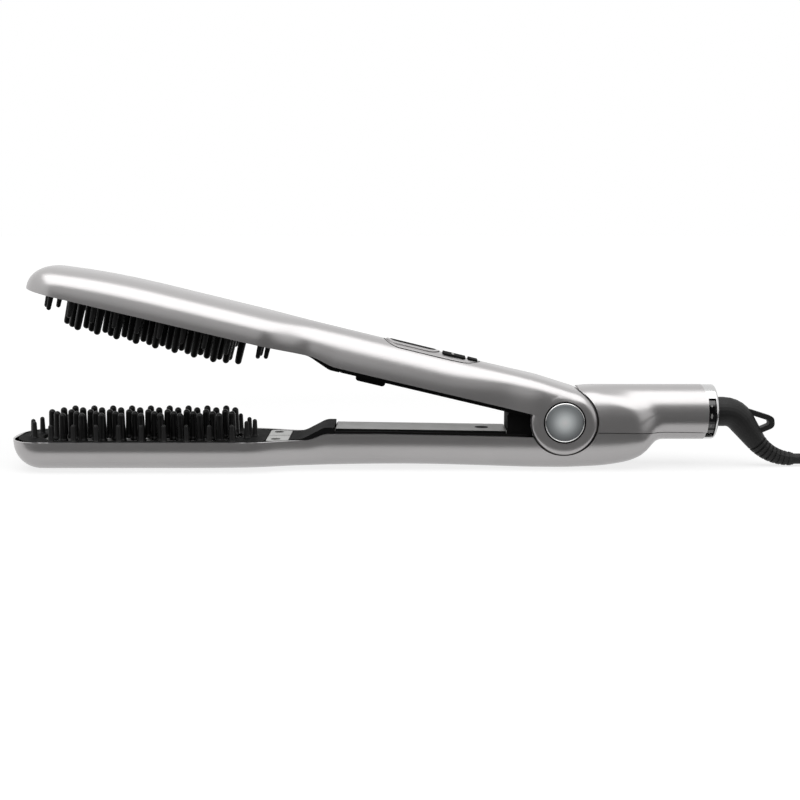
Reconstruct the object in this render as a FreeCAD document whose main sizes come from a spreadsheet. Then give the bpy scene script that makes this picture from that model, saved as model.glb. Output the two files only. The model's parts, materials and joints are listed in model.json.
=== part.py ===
import FreeCAD, Part
import math
import os
import re
import Sketcher
from FreeCAD import Placement, Rotation, Vector

# Steam hair straightener brush: two hinged arms with heated bristle heads, a round rear
# housing, a swivelling cord and a folded mains lead.
# Frame: +X towards the cord, +Y to the side, +Z up.  The brush rests on z = 0.

doc = FreeCAD.newDocument("steam_hair_brush")
sheet = doc.addObject("Spreadsheet::Sheet", "Dimensions")

DIMENSIONS = [
    # hinge
    ("hinge_x", 73.3, "hinge axis along the brush"),
    ("hinge_z", 23.1, "hinge axis above the table"),
    ("open_angle", 13.4, "upper arm above level when open, degrees"),
    ("knuckle_radius", 15.5, "knuckle disc of the upper arm"),
    ("knuckle_width", 32.0, "over both knuckle cheeks"),
    ("cheek_thick", 4.0, "one knuckle cheek"),
    ("pin_radius", 2.5, "hinge pin"),
    ("bush_radius", 4.0, "outside of a hinge bush"),
    ("cap_radius", 9.1, "decorative cap on the knuckle"),
    ("cap_thick", 1.2, "decorative cap on the knuckle"),
    ("cap_seat", 1.0, "depth of the recess for the decorative cap"),
    # lower arm
    ("nose_reach", 256.7, "lower nose ahead of the hinge"),
    ("head_width", 42.0, "both heads"),
    ("head_reach", 146.0, "start of the shoulder ahead of the hinge"),
    ("neck_reach", 120.0, "end of the shoulder ahead of the hinge"),
    ("handle_width", 29.0, "both handles"),
    ("hip_width", 31.2, "lower casing beside the hinge"),
    ("rim_z", 14.5, "rim of the lower head above the table"),
    ("neck_rim_z", 18.0, "rim of the lower handle behind the neck"),
    ("hip_rim_z", 16.4, "rim of the lower handle at the hinge"),
    ("neck_step_reach", 108.5, "top of the step from the head's rim to the handle's"),
    ("rim_fall_reach", 84.5, "where the handle's rim starts to fall towards the hinge"),
    ("arch_z", 1.6, "arch under the handle"),
    ("arch_reach", 75.0, "highest place of the arch ahead of the hinge"),
    ("belly_reach", 23.0, "where the belly starts to rise behind the hinge"),
    ("hip_start", 27.0, "where the handle starts to widen ahead of the hinge"),
    ("hip_full", 17.0, "where the casing reaches its width ahead of the hinge"),
    ("hip_end", 20.0, "where the casing starts to narrow behind the hinge"),
    ("coil_length", 12.0, "opening spring along its pin"),
    ("coil_wall", 2.0, "opening spring round its pin"),
    ("coil_room", 0.4, "clearance of the opening spring round its pin"),
    ("leg_radius", 0.8, "leg of the opening spring"),
    ("leg_length", 12.0, "leg of the opening spring"),
    ("ear_thick", 3.0, "ears that carry the hinge bushes"),
    ("ear_rim", 3.0, "wall of an ear round its bush"),
    ("bore_reach", 24.0, "front of the round hollow behind the hinge"),
    ("nose_round", 9.0, "lower nose rounding in side view"),
    ("upper_nose_round", 11.0, "upper nose rounding in side view"),
    ("nose_corner", 15.0, "nose rounding in plan"),
    ("edge_round", 5.5, "long edges of the lower casing"),
    ("shoulder_round", 22.0, "shoulder rounding in plan"),
    ("wall", 1.8, "side walls"),
    ("nose_wall", 4.5, "wall at the nose"),
    ("floor_thick", 3.2, "floor of the lower casing"),
    # rear housing
    ("rear_axis_z", 25.9, "axis of the round rear housing"),
    ("rear_radius", 12.9, "round rear housing"),
    ("tail_reach", 48.0, "end of the belly behind the hinge"),
    ("cap_reach", 62.1, "front of the end cap behind the hinge"),
    ("cap_length", 9.4, "end cap"),
    ("seam_z", 18.4, "seam between lower casing and rear cover"),
    ("cover_hip_end", 22.0, "where the rear cover starts to narrow behind the hinge"),
    ("cover_slope", 35.0, "where the top of the rear cover becomes level behind the hinge"),
    ("lip_reach", 7.4, "front lip of the rear cover behind the hinge"),
    # upper arm, measured from the hinge axis with the arm level
    ("upper_reach", 255.2, "upper nose ahead of the hinge"),
    ("upper_rim", 2.6, "rim of the upper head above the axis"),
    ("upper_neck_rim", 0.2, "rim of the upper handle above the axis"),
    ("upper_top", 17.9, "top of the upper nose above the axis"),
    ("hinge_top", 16.3, "top of the upper casing above the axis near the hinge"),
    ("hinge_fall", 18.0, "where the top starts to fall to the knuckle ahead of the hinge"),
    ("upper_roof", 2.4, "roof of the upper casing"),
    ("roof_round", 10.0, "long edges of the upper casing"),
    ("ceiling_step", 4.0, "step along the edges of the hollow in the upper casing"),
    ("liner_drop", 1.8, "underside of the upper liner below the axis"),
    # heads
    ("gap", 0.3, "running clearance between moving parts"),
    ("running_gap", 0.05, "radial clearance of a pin or neck in its bore"),
    ("seat_gap", 0.1, "clearance where a piece drops into its seat"),
    ("frame_thick", 1.6, "black bristle frame"),
    ("plate_thick", 1.6, "heater plate"),
    ("nose_seat", 2.0, "rim ahead of the bristle frame"),
    ("pitch", 9.03, "bristle pitch along the head"),
    ("row_pitch", 5.8, "distance between bristle rows"),
    ("row_step", 3.95, "set-back of each row from the one inside it"),
    ("bristle_inset", 4.1, "foremost long bristle behind the front of the plate opening"),
    ("bristle_height", 12.5, "long bristles above the lower rim"),
    ("upper_bristle_height", 13.3, "long bristles below the upper rim"),
    ("bristle_base", 1.9, "long bristle radius at its foot"),
    ("bristle_tip", 1.5, "long bristle radius at its tip"),
    ("edge_height", 7.8, "short edge bristles above the frame"),
    ("edge_base", 1.3, "short bristle radius at its foot"),
    ("edge_tip", 1.0, "short bristle radius at its tip"),
    ("edge_pitch", 10.35, "short bristle pitch"),
    ("edge_offset", 16.8, "short bristle rows beside the plate from the middle"),
    ("edge_inset", 7.7, "foremost short bristle beside the plate behind the opening's front"),
    ("edge_front_out", 5.0, "middle short bristle ahead of the lower plate opening"),
    ("edge_front_step", 2.4, "outer short bristles at the lower nose behind the middle one"),
    ("edge_front_half", 6.5, "outer short bristles at the lower nose from the middle"),
    ("upper_edge_front_out", 2.2, "middle short bristle ahead of the upper plate opening"),
    ("upper_edge_front_step", 3.3, "outer short bristles at the upper nose behind the middle one"),
    ("upper_edge_front_half", 8.2, "outer short bristles at the upper nose from the middle"),
    ("edge_rear_out", 5.8, "middle short bristle behind the lower plate opening"),
    ("upper_edge_rear_out", 8.6, "middle short bristle behind the upper plate opening"),
    ("edge_rear_step", 3.2, "outer short bristles behind the plate ahead of the middle one"),
    ("plate_setback", 13.7, "front of the plate opening behind the lower nose"),
    ("upper_plate_setback", 12.2, "front of the plate opening behind the upper nose"),
    ("plate_rear", 149.6, "rear of the heater plate opening ahead of the hinge"),
    ("plate_half", 14.7, "half width of the heater plate opening"),
    ("plate_lap", 1.8, "heater plate under its frame"),
    ("frame_rear", 137.5, "rear of the bristle frame ahead of the hinge"),
    ("tab_rear", 127.1, "rear of the plate tabs ahead of the hinge"),
    ("tab_hole", 2.25, "hole in a plate tab"),
    ("tab_hole_set", 4.3, "hole in a plate tab behind the bristle frame"),
    ("tab_hole_y", 9.5, "hole in a plate tab from the middle"),
    ("tab_half", 15.0, "plate tabs from the middle at the bristle frame"),
    ("tab_rear_half", 12.8, "plate tabs from the middle at their rear"),
    ("tab_slot", 0.8, "slot between the two tabs"),
    ("ramp_rear", 106.0, "rear of the ramp cover ahead of the hinge"),
    ("ramp_crest", 4.5, "level part at the top of a ramp cover"),
    ("ramp_nose", 5.7, "low part at the front of a ramp cover"),
    ("ramp_top", 20.3, "top of the ramp cover above the table"),
    # steam and water
    ("tank_rear", 25.8, "rear of the water tank ahead of the hinge"),
    ("tank_width", 19.6, "water tank"),
    ("tank_top", 19.5, "front of the tank lid above the table"),
    ("tank_rear_top", 18.3, "rear of the tank lid above the table"),
    ("fill_reach", 37.2, "filling hole ahead of the hinge"),
    ("fill_radius", 3.2, "filling plug"),
    ("fill_depth", 2.4, "filling plug in its hole"),
    ("block_rear", 14.0, "rear of the hinge block ahead of the hinge"),
    ("block_top", 27.6, "hinge block above the table"),
    ("block_width", 19.2, "hinge block"),
    ("tub_wall", 1.6, "walls of the water tank"),
    # controls, measured from the hinge axis with the arm level
    ("panel_front", 89.5, "front of the control panel ahead of the hinge"),
    ("panel_rear", 43.2, "rear of the control panel ahead of the hinge"),
    ("panel_width", 15.0, "control panel"),
    ("bezel_rise", 0.2, "control bezel above the casing"),
    ("key_front", 88.2, "front of the temperature key ahead of the hinge"),
    ("key_rear", 62.8, "rear of the temperature key ahead of the hinge"),
    ("key_width", 11.0, "temperature key"),
    ("key_rise", 0.9, "temperature key above the casing"),
    ("button_front", 61.2, "front of the steam button ahead of the hinge"),
    ("button_rear", 50.6, "rear of the steam button ahead of the hinge"),
    ("power_front", 49.2, "front of the power button ahead of the hinge"),
    ("power_rear", 44.8, "rear of the power button ahead of the hinge"),
    ("button_rise", 0.9, "buttons above the casing"),
    ("button_travel", 0.8, "travel of the steam and power buttons"),
    ("board_drop", 4.4, "control board below the top of the knuckle"),
    ("axle_drop", 1.4, "axle of the temperature key below the top of the knuckle"),
    ("axle_radius", 0.8, "axle of the temperature key"),
    ("axle_end", 1.2, "axle beyond each side of the temperature key"),
    ("key_depth", 2.2, "underside of the temperature key below the top of the knuckle"),
    ("button_depth", 2.6, "underside of the buttons below the top of the knuckle"),
    ("button_inset", 0.6, "steam button narrower than the temperature key, each side"),
    ("power_inset", 1.4, "power button narrower than the temperature key, each side"),
    ("button_corner", 1.2, "corners of both buttons in plan"),
    ("switch_half", 1.8, "half of a key switch along and across"),
    ("switch_height", 0.9, "key switches above the control board"),
    ("bumper_width", 14.0, "closing bumper"),
    ("bumper_front", 98.0, "front of the closing bumper ahead of the hinge"),
    ("bumper_rear", 84.0, "rear of the closing bumper ahead of the hinge"),
    ("bumper_drop", 2.5, "closing bumper below the liner"),
    # inner works
    ("element_width", 20.0, "heating elements"),
    ("element_thick", 1.6, "heating elements"),
    ("chamber_width", 24.0, "steam chamber"),
    ("pump_width", 16.0, "water pump"),
    ("pipe_radius", 1.8, "steam tube"),
    ("board_width", 18.8, "main board"),
    ("board_thick", 1.6, "main board and control board"),
    ("relay_height", 7.6, "relay on the main board"),
    # rear fittings
    ("dial_front", 4.4, "front of the dial ring behind the front of the end cap"),
    ("dial_width", 3.6, "dial ring"),
    ("dial_radius", 11.6, "dial ring"),
    ("dial_bore", 9.3, "bore of the dial ring"),
    ("window_half", 8.8, "half height of a dial window"),
    # cord
    ("gland_radius", 6.9, "barrel of the cord gland"),
    ("neck_radius", 5.0, "neck of the gland inside its socket"),
    ("gland_drop", 53.0, "angle of the elbow below level, degrees"),
    ("gland_corner", 10.0, "corner of the elbow behind the rear end"),
    ("elbow_bend", 10.0, "bend radius of the elbow"),
    ("elbow_length", 16.9, "slanted part of the elbow"),
    ("gland_bevel", 0.5, "bevel at the front of the gland"),
    ("flange_rim", 1.6, "flange that holds the gland inside the end cap"),
    ("flange_thick", 1.5, "flange that holds the gland inside the end cap"),
    ("socket_wall", 2.1, "brass socket round the gland's neck"),
    ("loop_length", 18.9, "hanging loop behind the elbow's corner"),
    ("loop_low", 10.2, "lowest place of the hanging loop below the rear axis"),
    ("loop_thick", 4.4, "hanging loop across the brush"),
    ("loop_bar", 2.4, "bar round the hole of the hanging loop"),
    ("boot_radius", 4.85, "strain relief at the elbow"),
    ("boot_tip_radius", 3.1, "strain relief at the cord"),
    ("boot_tip_z", 3.3, "axis of the strain relief's tip above the table"),
    ("boot_ribs", 8, "ribs of the strain relief"),
    ("boot_groove", 0.8, "depth of the grooves between the first ribs"),
    ("cord_radius", 2.5, "mains cord"),
    ("cord_length", 1800.0, "mains cord from strain relief to plug"),
    ("hank_x", 260.0, "near end of the straight runs of the folded cord"),
    ("hank_run", 97.0, "straight runs of the folded cord"),
    ("hank_half", 20.0, "outermost run of the folded cord from the middle"),
    ("hank_entry", 5.0, "where the cord meets its fold before the straight runs"),
    ("hank_nose", 7.5, "near turns beyond a plain half circle"),
    ("hank_layers", 3, "layers of the folded cord"),
    ("tie_width", 8.0, "tie round the folded cord"),
    ("tie_reach", 48.0, "tie from the near end of the straight runs"),
    ("tie_thick", 0.9, "tie round the folded cord"),
    ("plug_reach", 55.0, "cord end of the plug from the near end of the straight runs"),
    ("plug_y", 8.0, "plug from the middle of the fold that it lies on"),
    ("plug_length", 36.0, "plug body"),
    ("plug_width", 26.0, "plug body"),
    ("plug_height", 14.0, "plug body"),
    ("plug_neck", 5.5, "half width of the plug where its tail starts"),
    ("plug_taper", 14.0, "tapered part of the plug"),
    ("plug_tail", 20.0, "strain relief of the plug"),
    ("blade_length", 19.0, "plug pins"),
    ("blade_radius", 2.0, "plug pins"),
    ("blade_pitch", 18.6, "between the plug pins"),
]

for row, (alias, number, meaning) in enumerate(DIMENSIONS, 1):
    sheet.set(f"A{row}", meaning)
    sheet.set(f"B{row}", str(number))
    sheet.setAlias(f"B{row}", alias)
doc.recompute()

ALIASES = sorted((alias for alias, number, meaning in DIMENSIONS), key=len, reverse=True)
ALIAS_PATTERN = re.compile(r"\b(" + "|".join(ALIASES) + r")\b")


def bound(expression):
    """The expression with each dimension tied to its cell."""
    return ALIAS_PATTERN.sub(r"Dimensions.\1", str(expression))


def size(expression):
    """The value of an expression, in mm or degrees."""
    result = sheet.evalExpression(bound(expression).replace("Dimensions.", ""))
    return float(getattr(result, "Value", result))


# ---------------------------------------------------------------- sketch helpers

ORIGIN_POINT = (-1, 1)


def new_body(name):
    body = doc.addObject("PartDesign::Body", name)
    body.Label = name
    return body


def sketch_on(body, role, name, offset="0"):
    """A sketch on an origin plane of the body, lifted along the plane's normal."""
    sketch = body.newObject("Sketcher::SketchObject", name)
    plane = [item for item in body.Origin.OriginFeatures if item.Role == role][0]
    sketch.AttachmentSupport = (plane, [""])
    sketch.MapMode = "FlatFace"
    if offset != "0":
        sketch.setExpression("AttachmentOffset.Base.z", bound(offset))
    return sketch


def pin_point(sketch, geometry, position, x, y):
    """Ties one point of the sketch to the expressions x and y."""
    for kind, expression in (("DistanceX", x), ("DistanceY", y)):
        index = sketch.addConstraint(
            Sketcher.Constraint(kind, *ORIGIN_POINT, geometry, position, size(expression)))
        sketch.setExpression(f"Constraints[{index}]", bound(expression))


def add_circle(sketch, x, y, radius):
    centre = Vector(size(x), size(y), 0)
    index = sketch.addGeometry(Part.Circle(centre, Vector(0, 0, 1), size(radius)))
    pin_point(sketch, index, 3, x, y)
    constraint = sketch.addConstraint(Sketcher.Constraint("Radius", index, size(radius)))
    sketch.setExpression(f"Constraints[{constraint}]", bound(radius))


def add_outline(sketch, corners):
    """A closed outline through (x, y, rounding) corners, each an expression."""
    count = len(corners)
    points = [Vector(size(x), size(y), 0) for x, y, rounding in corners]
    radii = [size(rounding) for x, y, rounding in corners]
    starts, ends, arcs = [], [], []
    for i, point in enumerate(points):
        into = (point - points[i - 1]).normalize()
        out = (points[(i + 1) % count] - point).normalize()
        if radii[i] == 0:
            starts.append(point)
            ends.append(point)
            arcs.append(None)
            continue
        turn = into.getAngle(out)
        back = radii[i] * math.tan(turn / 2)
        first = point - into * back
        last = point + out * back
        middle_way = (out - into).normalize()
        centre = point + middle_way * (radii[i] / math.cos(turn / 2))
        middle = centre - middle_way * radii[i]
        arcs.append(Part.Arc(first, middle, last))
        ends.append(first)
        starts.append(last)
    lines = []
    for i in range(count):
        line = Part.LineSegment(starts[i], ends[(i + 1) % count])
        lines.append(sketch.addGeometry(line))
    for i, (x, y, rounding) in enumerate(corners):
        before = lines[i - 1]
        after = lines[i]
        if arcs[i] is None:
            sketch.addConstraint(Sketcher.Constraint("Coincident", before, 2, after, 1))
            pin_point(sketch, after, 1, x, y)
            continue
        arc = sketch.addGeometry(arcs[i])
        flipped = sketch.getPoint(arc, 1).distanceToPoint(ends[i]) > 1e-6
        arc_first, arc_last = (2, 1) if flipped else (1, 2)
        sketch.addConstraint(Sketcher.Constraint("Tangent", before, 2, arc, arc_first))
        sketch.addConstraint(Sketcher.Constraint("Tangent", arc, arc_last, after, 1))
        radius = sketch.addConstraint(Sketcher.Constraint("Radius", arc, radii[i]))
        sketch.setExpression(f"Constraints[{radius}]", bound(rounding))
        corner = sketch.addGeometry(Part.Point(points[i]), True)
        pin_point(sketch, corner, 1, x, y)
        for line in (before, after):
            sketch.addConstraint(Sketcher.Constraint("PointOnObject", corner, 1, line))


def add_rectangle(sketch, x0, x1, y0, y1):
    add_outline(sketch, [(x0, y0, "0"), (x1, y0, "0"), (x1, y1, "0"), (x0, y1, "0")])


def extrude(body, kind, sketch, length, symmetric=False, reverse=False, name=None):
    """A Pad or Pocket whose length is tied to the sheet."""
    before = body.Shape.Volume if body.Tip else 0
    feature = body.newObject("PartDesign::" + kind, name or sketch.Name + "_" + kind)
    feature.Profile = sketch
    if symmetric:
        feature.SideType = "Symmetric"
    feature.Reversed = reverse
    feature.setExpression("Length", bound(length))
    sketch.Visibility = False
    doc.recompute()
    after = body.Shape.Volume
    grew = after > before
    if abs(after - before) < 0.01 or grew != (kind == "Pad"):
        raise RuntimeError(f"{body.Label}: {feature.Name} did nothing or the wrong thing")
    return feature


def pad(body, sketch, length, **options):
    return extrude(body, "Pad", sketch, length, **options)


def pocket(body, sketch, length, **options):
    return extrude(body, "Pocket", sketch, length, **options)


def fillet(body, radius, chosen):
    """Rounds the edges of the body's tip that the chosen function accepts."""
    tip = body.Tip
    names = [f"Edge{i}" for i, edge in enumerate(tip.Shape.Edges, 1) if chosen(edge)]
    feature = body.newObject("PartDesign::Fillet", body.Label + "_fillet")
    feature.Base = (tip, names)
    feature.setExpression("Radius", bound(radius))
    doc.recompute()
    return feature


# ---------------------------------------------------------------- shared outlines

def ahead(reach):
    """X of something that lies reach ahead of the hinge."""
    return f"(hinge_x - ({reach}))"


def behind(reach):
    """X of something that lies reach behind the hinge."""
    return f"(hinge_x + ({reach}))"


def arm_plan(nose, inset, nose_inset, end, base="hinge_x", end_half=None):
    """Plan outline of an arm, inset from its outer skin, as corners for add_outline."""
    front = f"({base} - {nose} + {nose_inset})"
    shoulder = f"({base} - head_reach - {inset} * 0.5)"
    neck = f"({base} - neck_reach - {inset} * 0.5)"
    head = f"(head_width / 2 - {inset})"
    handle = f"(handle_width / 2 - {inset})"
    corner = f"(nose_corner - {nose_inset})"
    half = [
        (front, head, corner),
        (shoulder, head, "shoulder_round"),
        (neck, handle, "shoulder_round"),
    ]
    if end_half:
        half += end_half
    half.append((end, end_half[-1][1] if end_half else handle, "0"))
    lower = [(x, f"(-({y}))", rounding) for x, y, rounding in half]
    return lower + half[::-1]


def trim_to_plan(body, name, corners, depth="200"):
    """Cuts away everything outside a plan outline."""
    sketch = sketch_on(body, "XY_Plane", name, "-60")
    add_rectangle(sketch, "-600", "600", "-80", "80")
    add_outline(sketch, corners)
    return pocket(body, sketch, depth, reverse=True)


# ---------------------------------------------------------------- lower casing

def build_lower_casing():
    body = new_body("lower_casing")
    side = sketch_on(body, "XZ_Plane", "lower_side")
    add_outline(side, [
        (ahead("nose_reach"), "0", "nose_round"),
        (ahead("head_reach + 8"), "0", "300"),
        (ahead("arch_reach"), "arch_z", "600"),
        ("hinge_x", "0", "300"),
        (behind("belly_reach"), "0.6", "40"),
        (behind("tail_reach - 6"), "6.5", "14"),
        (behind("tail_reach"), "seam_z", "0"),
        (behind("knuckle_radius"), "seam_z", "0"),
        (ahead("knuckle_radius"), "hip_rim_z", "0"),
        (ahead("rim_fall_reach"), "neck_rim_z", "60"),
        (ahead("neck_step_reach"), "neck_rim_z", "12"),
        (ahead("neck_reach - 1"), "rim_z", "12"),
        (ahead("nose_reach"), "rim_z", "0"),
    ])
    pad(body, side, "head_width", symmetric=True)
    hip = "hip_width / 2"
    hips = [
        (ahead("hip_start"), "handle_width / 2", "60"),
        (ahead("hip_full"), hip, "60"),
        (behind("hip_end"), hip, "25"),
        (behind("tail_reach - 4"), "(rear_radius - 1.5)", "12"),
    ]
    trim_to_plan(body, "lower_plan", arm_plan("nose_reach", "0", "0", behind("tail_reach + 4"),
                                              end_half=hips))

    def on_floor(edge):
        box = edge.BoundBox
        return box.ZMax < size("rim_z") - 1 and box.XMin < size(behind("30"))

    fillet(body, "edge_round", on_floor)

    barrel = sketch_on(body, "YZ_Plane", "lower_barrel", behind("tail_reach - 14"))
    add_circle(barrel, "0", "rear_axis_z", "rear_radius")
    pad(body, barrel, "cap_reach - tail_reach + 14")
    above = sketch_on(body, "XZ_Plane", "lower_above_seam")
    add_rectangle(above, behind("knuckle_radius"), behind("cap_reach + 1"), "seam_z", "60")
    pocket(body, above, "60", symmetric=True)

    cavity = sketch_on(body, "XY_Plane", "lower_cavity", "floor_thick")
    hollow = [
        (ahead("hip_start"), "handle_width / 2 - wall", "60"),
        (ahead("hip_full"), "hip_width / 2 - wall", "60"),
    ]
    add_outline(cavity, arm_plan("nose_reach", "wall", "nose_wall",
                                 behind("bore_reach + 2"), end_half=hollow))
    pocket(body, cavity, "60", reverse=True)
    seat = sketch_on(body, "XY_Plane", "lower_frame_seat", "rim_z - frame_thick")
    add_outline(seat, arm_plan("nose_reach", "wall", "nose_seat", ahead("100")))
    pocket(body, seat, "60", reverse=True)
    bore = sketch_on(body, "YZ_Plane", "lower_bore", behind("bore_reach"))
    add_circle(bore, "0", "rear_axis_z", "rear_radius - wall")
    pocket(body, bore, "60", reverse=True)

    knuckle = sketch_on(body, "XZ_Plane", "lower_knuckle_room")
    add_circle(knuckle, "hinge_x", "hinge_z", "knuckle_radius + gap")
    pocket(body, knuckle, "60", symmetric=True)

    inner = "(knuckle_width / 2 - cheek_thick - gap)"
    ear_top = "hinge_z + bush_radius + ear_rim"
    ear_round = "bush_radius + ear_rim - 0.1"
    for side_sign, label in ((1, "right"), (-1, "left")):
        lift = f"({inner})" if side_sign > 0 else f"(-{inner} + ear_thick)"
        ear = sketch_on(body, "XZ_Plane", "lower_ear_" + label, lift)
        add_outline(ear, [
            (ahead("bush_radius + ear_rim"), "floor_thick - 1", "0"),
            (behind("bush_radius + ear_rim"), "floor_thick - 1", "0"),
            (behind("bush_radius + ear_rim"), ear_top, ear_round),
            (ahead("bush_radius + ear_rim"), ear_top, ear_round),
        ])
        pad(body, ear, "ear_thick", reverse=True)
    pin = sketch_on(body, "XZ_Plane", "lower_pin_hole")
    add_circle(pin, "hinge_x", "hinge_z", "bush_radius + seat_gap / 2")
    pocket(body, pin, "60", symmetric=True)


# ---------------------------------------------------------------- rear housing

def build_rear_cover():
    body = new_body("rear_cover")
    side = sketch_on(body, "XZ_Plane", "cover_side")
    top = "(rear_axis_z + rear_radius)"
    add_outline(side, [
        (behind("lip_reach"), "seam_z + seat_gap", "0"),
        (behind("cap_reach"), "seam_z + seat_gap", "0"),
        (behind("cap_reach"), top, "0"),
        (behind("cover_slope"), top, "120"),
        (behind("lip_reach"), "(hinge_z + knuckle_radius - 0.3)", "0"),
    ])
    pad(body, side, "hip_width", symmetric=True)
    hip = "hip_width / 2"
    barrel = "rear_radius"
    half = [
        (behind("-5"), hip, "0"),
        (behind("cover_hip_end"), hip, "40"),
        (behind("tail_reach - 6"), barrel, "40"),
        (behind("cap_reach + 4"), barrel, "0"),
    ]
    trim_to_plan(body, "cover_plan", [(x, f"(-{y})", r) for x, y, r in half] + half[::-1])

    def on_top(edge):
        box = edge.BoundBox
        return box.ZMin > size("rear_axis_z") + 8 and box.XLength > 4 and abs(box.YMin) > 5

    fillet(body, "rear_radius - 1.6", on_top)
    bore = sketch_on(body, "YZ_Plane", "cover_bore", behind("bore_reach"))
    add_circle(bore, "0", "rear_axis_z", "rear_radius - wall")
    pocket(body, bore, "60", reverse=True)
    room = sketch_on(body, "XZ_Plane", "cover_knuckle_room")
    add_circle(room, "hinge_x", "hinge_z", "knuckle_radius + gap")
    pocket(body, room, "60", symmetric=True)


def build_end_cap():
    """Round cap at the cord outlet; the dial ring shows through a window on each side."""
    body = new_body("end_cap")
    disc = sketch_on(body, "YZ_Plane", "cap_disc")
    add_circle(disc, "0", "0", "rear_radius")
    pad(body, disc, "cap_length")
    chamber = sketch_on(body, "XZ_Plane", "cap_chamber")
    add_rectangle(chamber, "dial_front - gap", "dial_front + dial_width + gap",
                  "dial_bore - gap", "dial_radius + gap")
    before = body.Shape.Volume
    groove = body.newObject("PartDesign::Groove", "cap_dial_room")
    groove.Profile = chamber
    x_axis = [item for item in body.Origin.OriginFeatures if item.Role == "X_Axis"][0]
    groove.ReferenceAxis = (x_axis, [""])
    groove.Angle = 360
    doc.recompute()
    if not body.Shape.Volume < before:
        raise RuntimeError("the dial room was not cut")
    for label, lift, reverse in (("right", "dial_bore", True), ("left", "-dial_bore", False)):
        window = sketch_on(body, "XZ_Plane", "cap_window_" + label, f"({lift})")
        add_rectangle(window, "dial_front - gap", "dial_front + dial_width + gap",
                      "-window_half", "window_half")
        pocket(body, window, "20", reverse=reverse)
    bore = sketch_on(body, "YZ_Plane", "cap_bore")
    add_circle(bore, "0", "0", "neck_radius + socket_wall")
    pocket(body, bore, "cap_length", reverse=True)
    body.setExpression("Placement.Base.x", bound(behind("cap_reach")))
    body.setExpression("Placement.Base.z", bound("rear_axis_z"))


def build_dial_ring():
    body = new_body("dial_ring")
    ring = sketch_on(body, "YZ_Plane", "dial_blank")
    add_circle(ring, "0", "0", "dial_radius")
    add_circle(ring, "0", "0", "dial_bore")
    pad(body, ring, "dial_width")
    flute = sketch_on(body, "YZ_Plane", "dial_flute")
    add_rectangle(flute, "-0.4", "0.4", "dial_radius - 0.5", "dial_radius + 1")
    cut = pocket(body, flute, "dial_width", reverse=True)
    pattern = body.newObject("PartDesign::PolarPattern", "dial_flutes")
    pattern.Originals = [cut]
    x_axis = [item for item in body.Origin.OriginFeatures if item.Role == "X_Axis"][0]
    pattern.Axis = (x_axis, [""])
    pattern.Angle = 360
    pattern.Occurrences = 20
    body.Tip = pattern
    body.setExpression("Placement.Base.x", bound(behind("cap_reach + dial_front")))
    body.setExpression("Placement.Base.z", bound("rear_axis_z"))


# ---------------------------------------------------------------- upper casing

def on_upper_arm(thing):
    """Carries a piece drawn with the arm level to its open position."""
    thing.Placement = Placement(Vector(0, 0, 0), Rotation(Vector(0, 1, 0), size("open_angle")))
    thing.setExpression("Placement.Base.x", bound("hinge_x"))
    thing.setExpression("Placement.Base.z", bound("hinge_z"))
    thing.setExpression("Placement.Rotation.Angle", bound("open_angle"))


def roof(reach):
    """Top of the upper casing above the axis, at a reach ahead of the hinge."""
    slope = "(upper_top - hinge_top) / (upper_reach - hinge_fall)"
    return f"(hinge_top + {slope} * ({reach} - hinge_fall))"


def stadium(front, rear, half):
    """Corners of a long rounded opening from front to rear, ahead of the axis."""
    rounding = f"({half} - 0.05)"
    return [(f"(-({front}))", f"(-({half}))", rounding), (f"(-({rear}))", f"(-({half}))", rounding),
            (f"(-({rear}))", f"({half})", rounding), (f"(-({front}))", f"({half})", rounding)]


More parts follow.
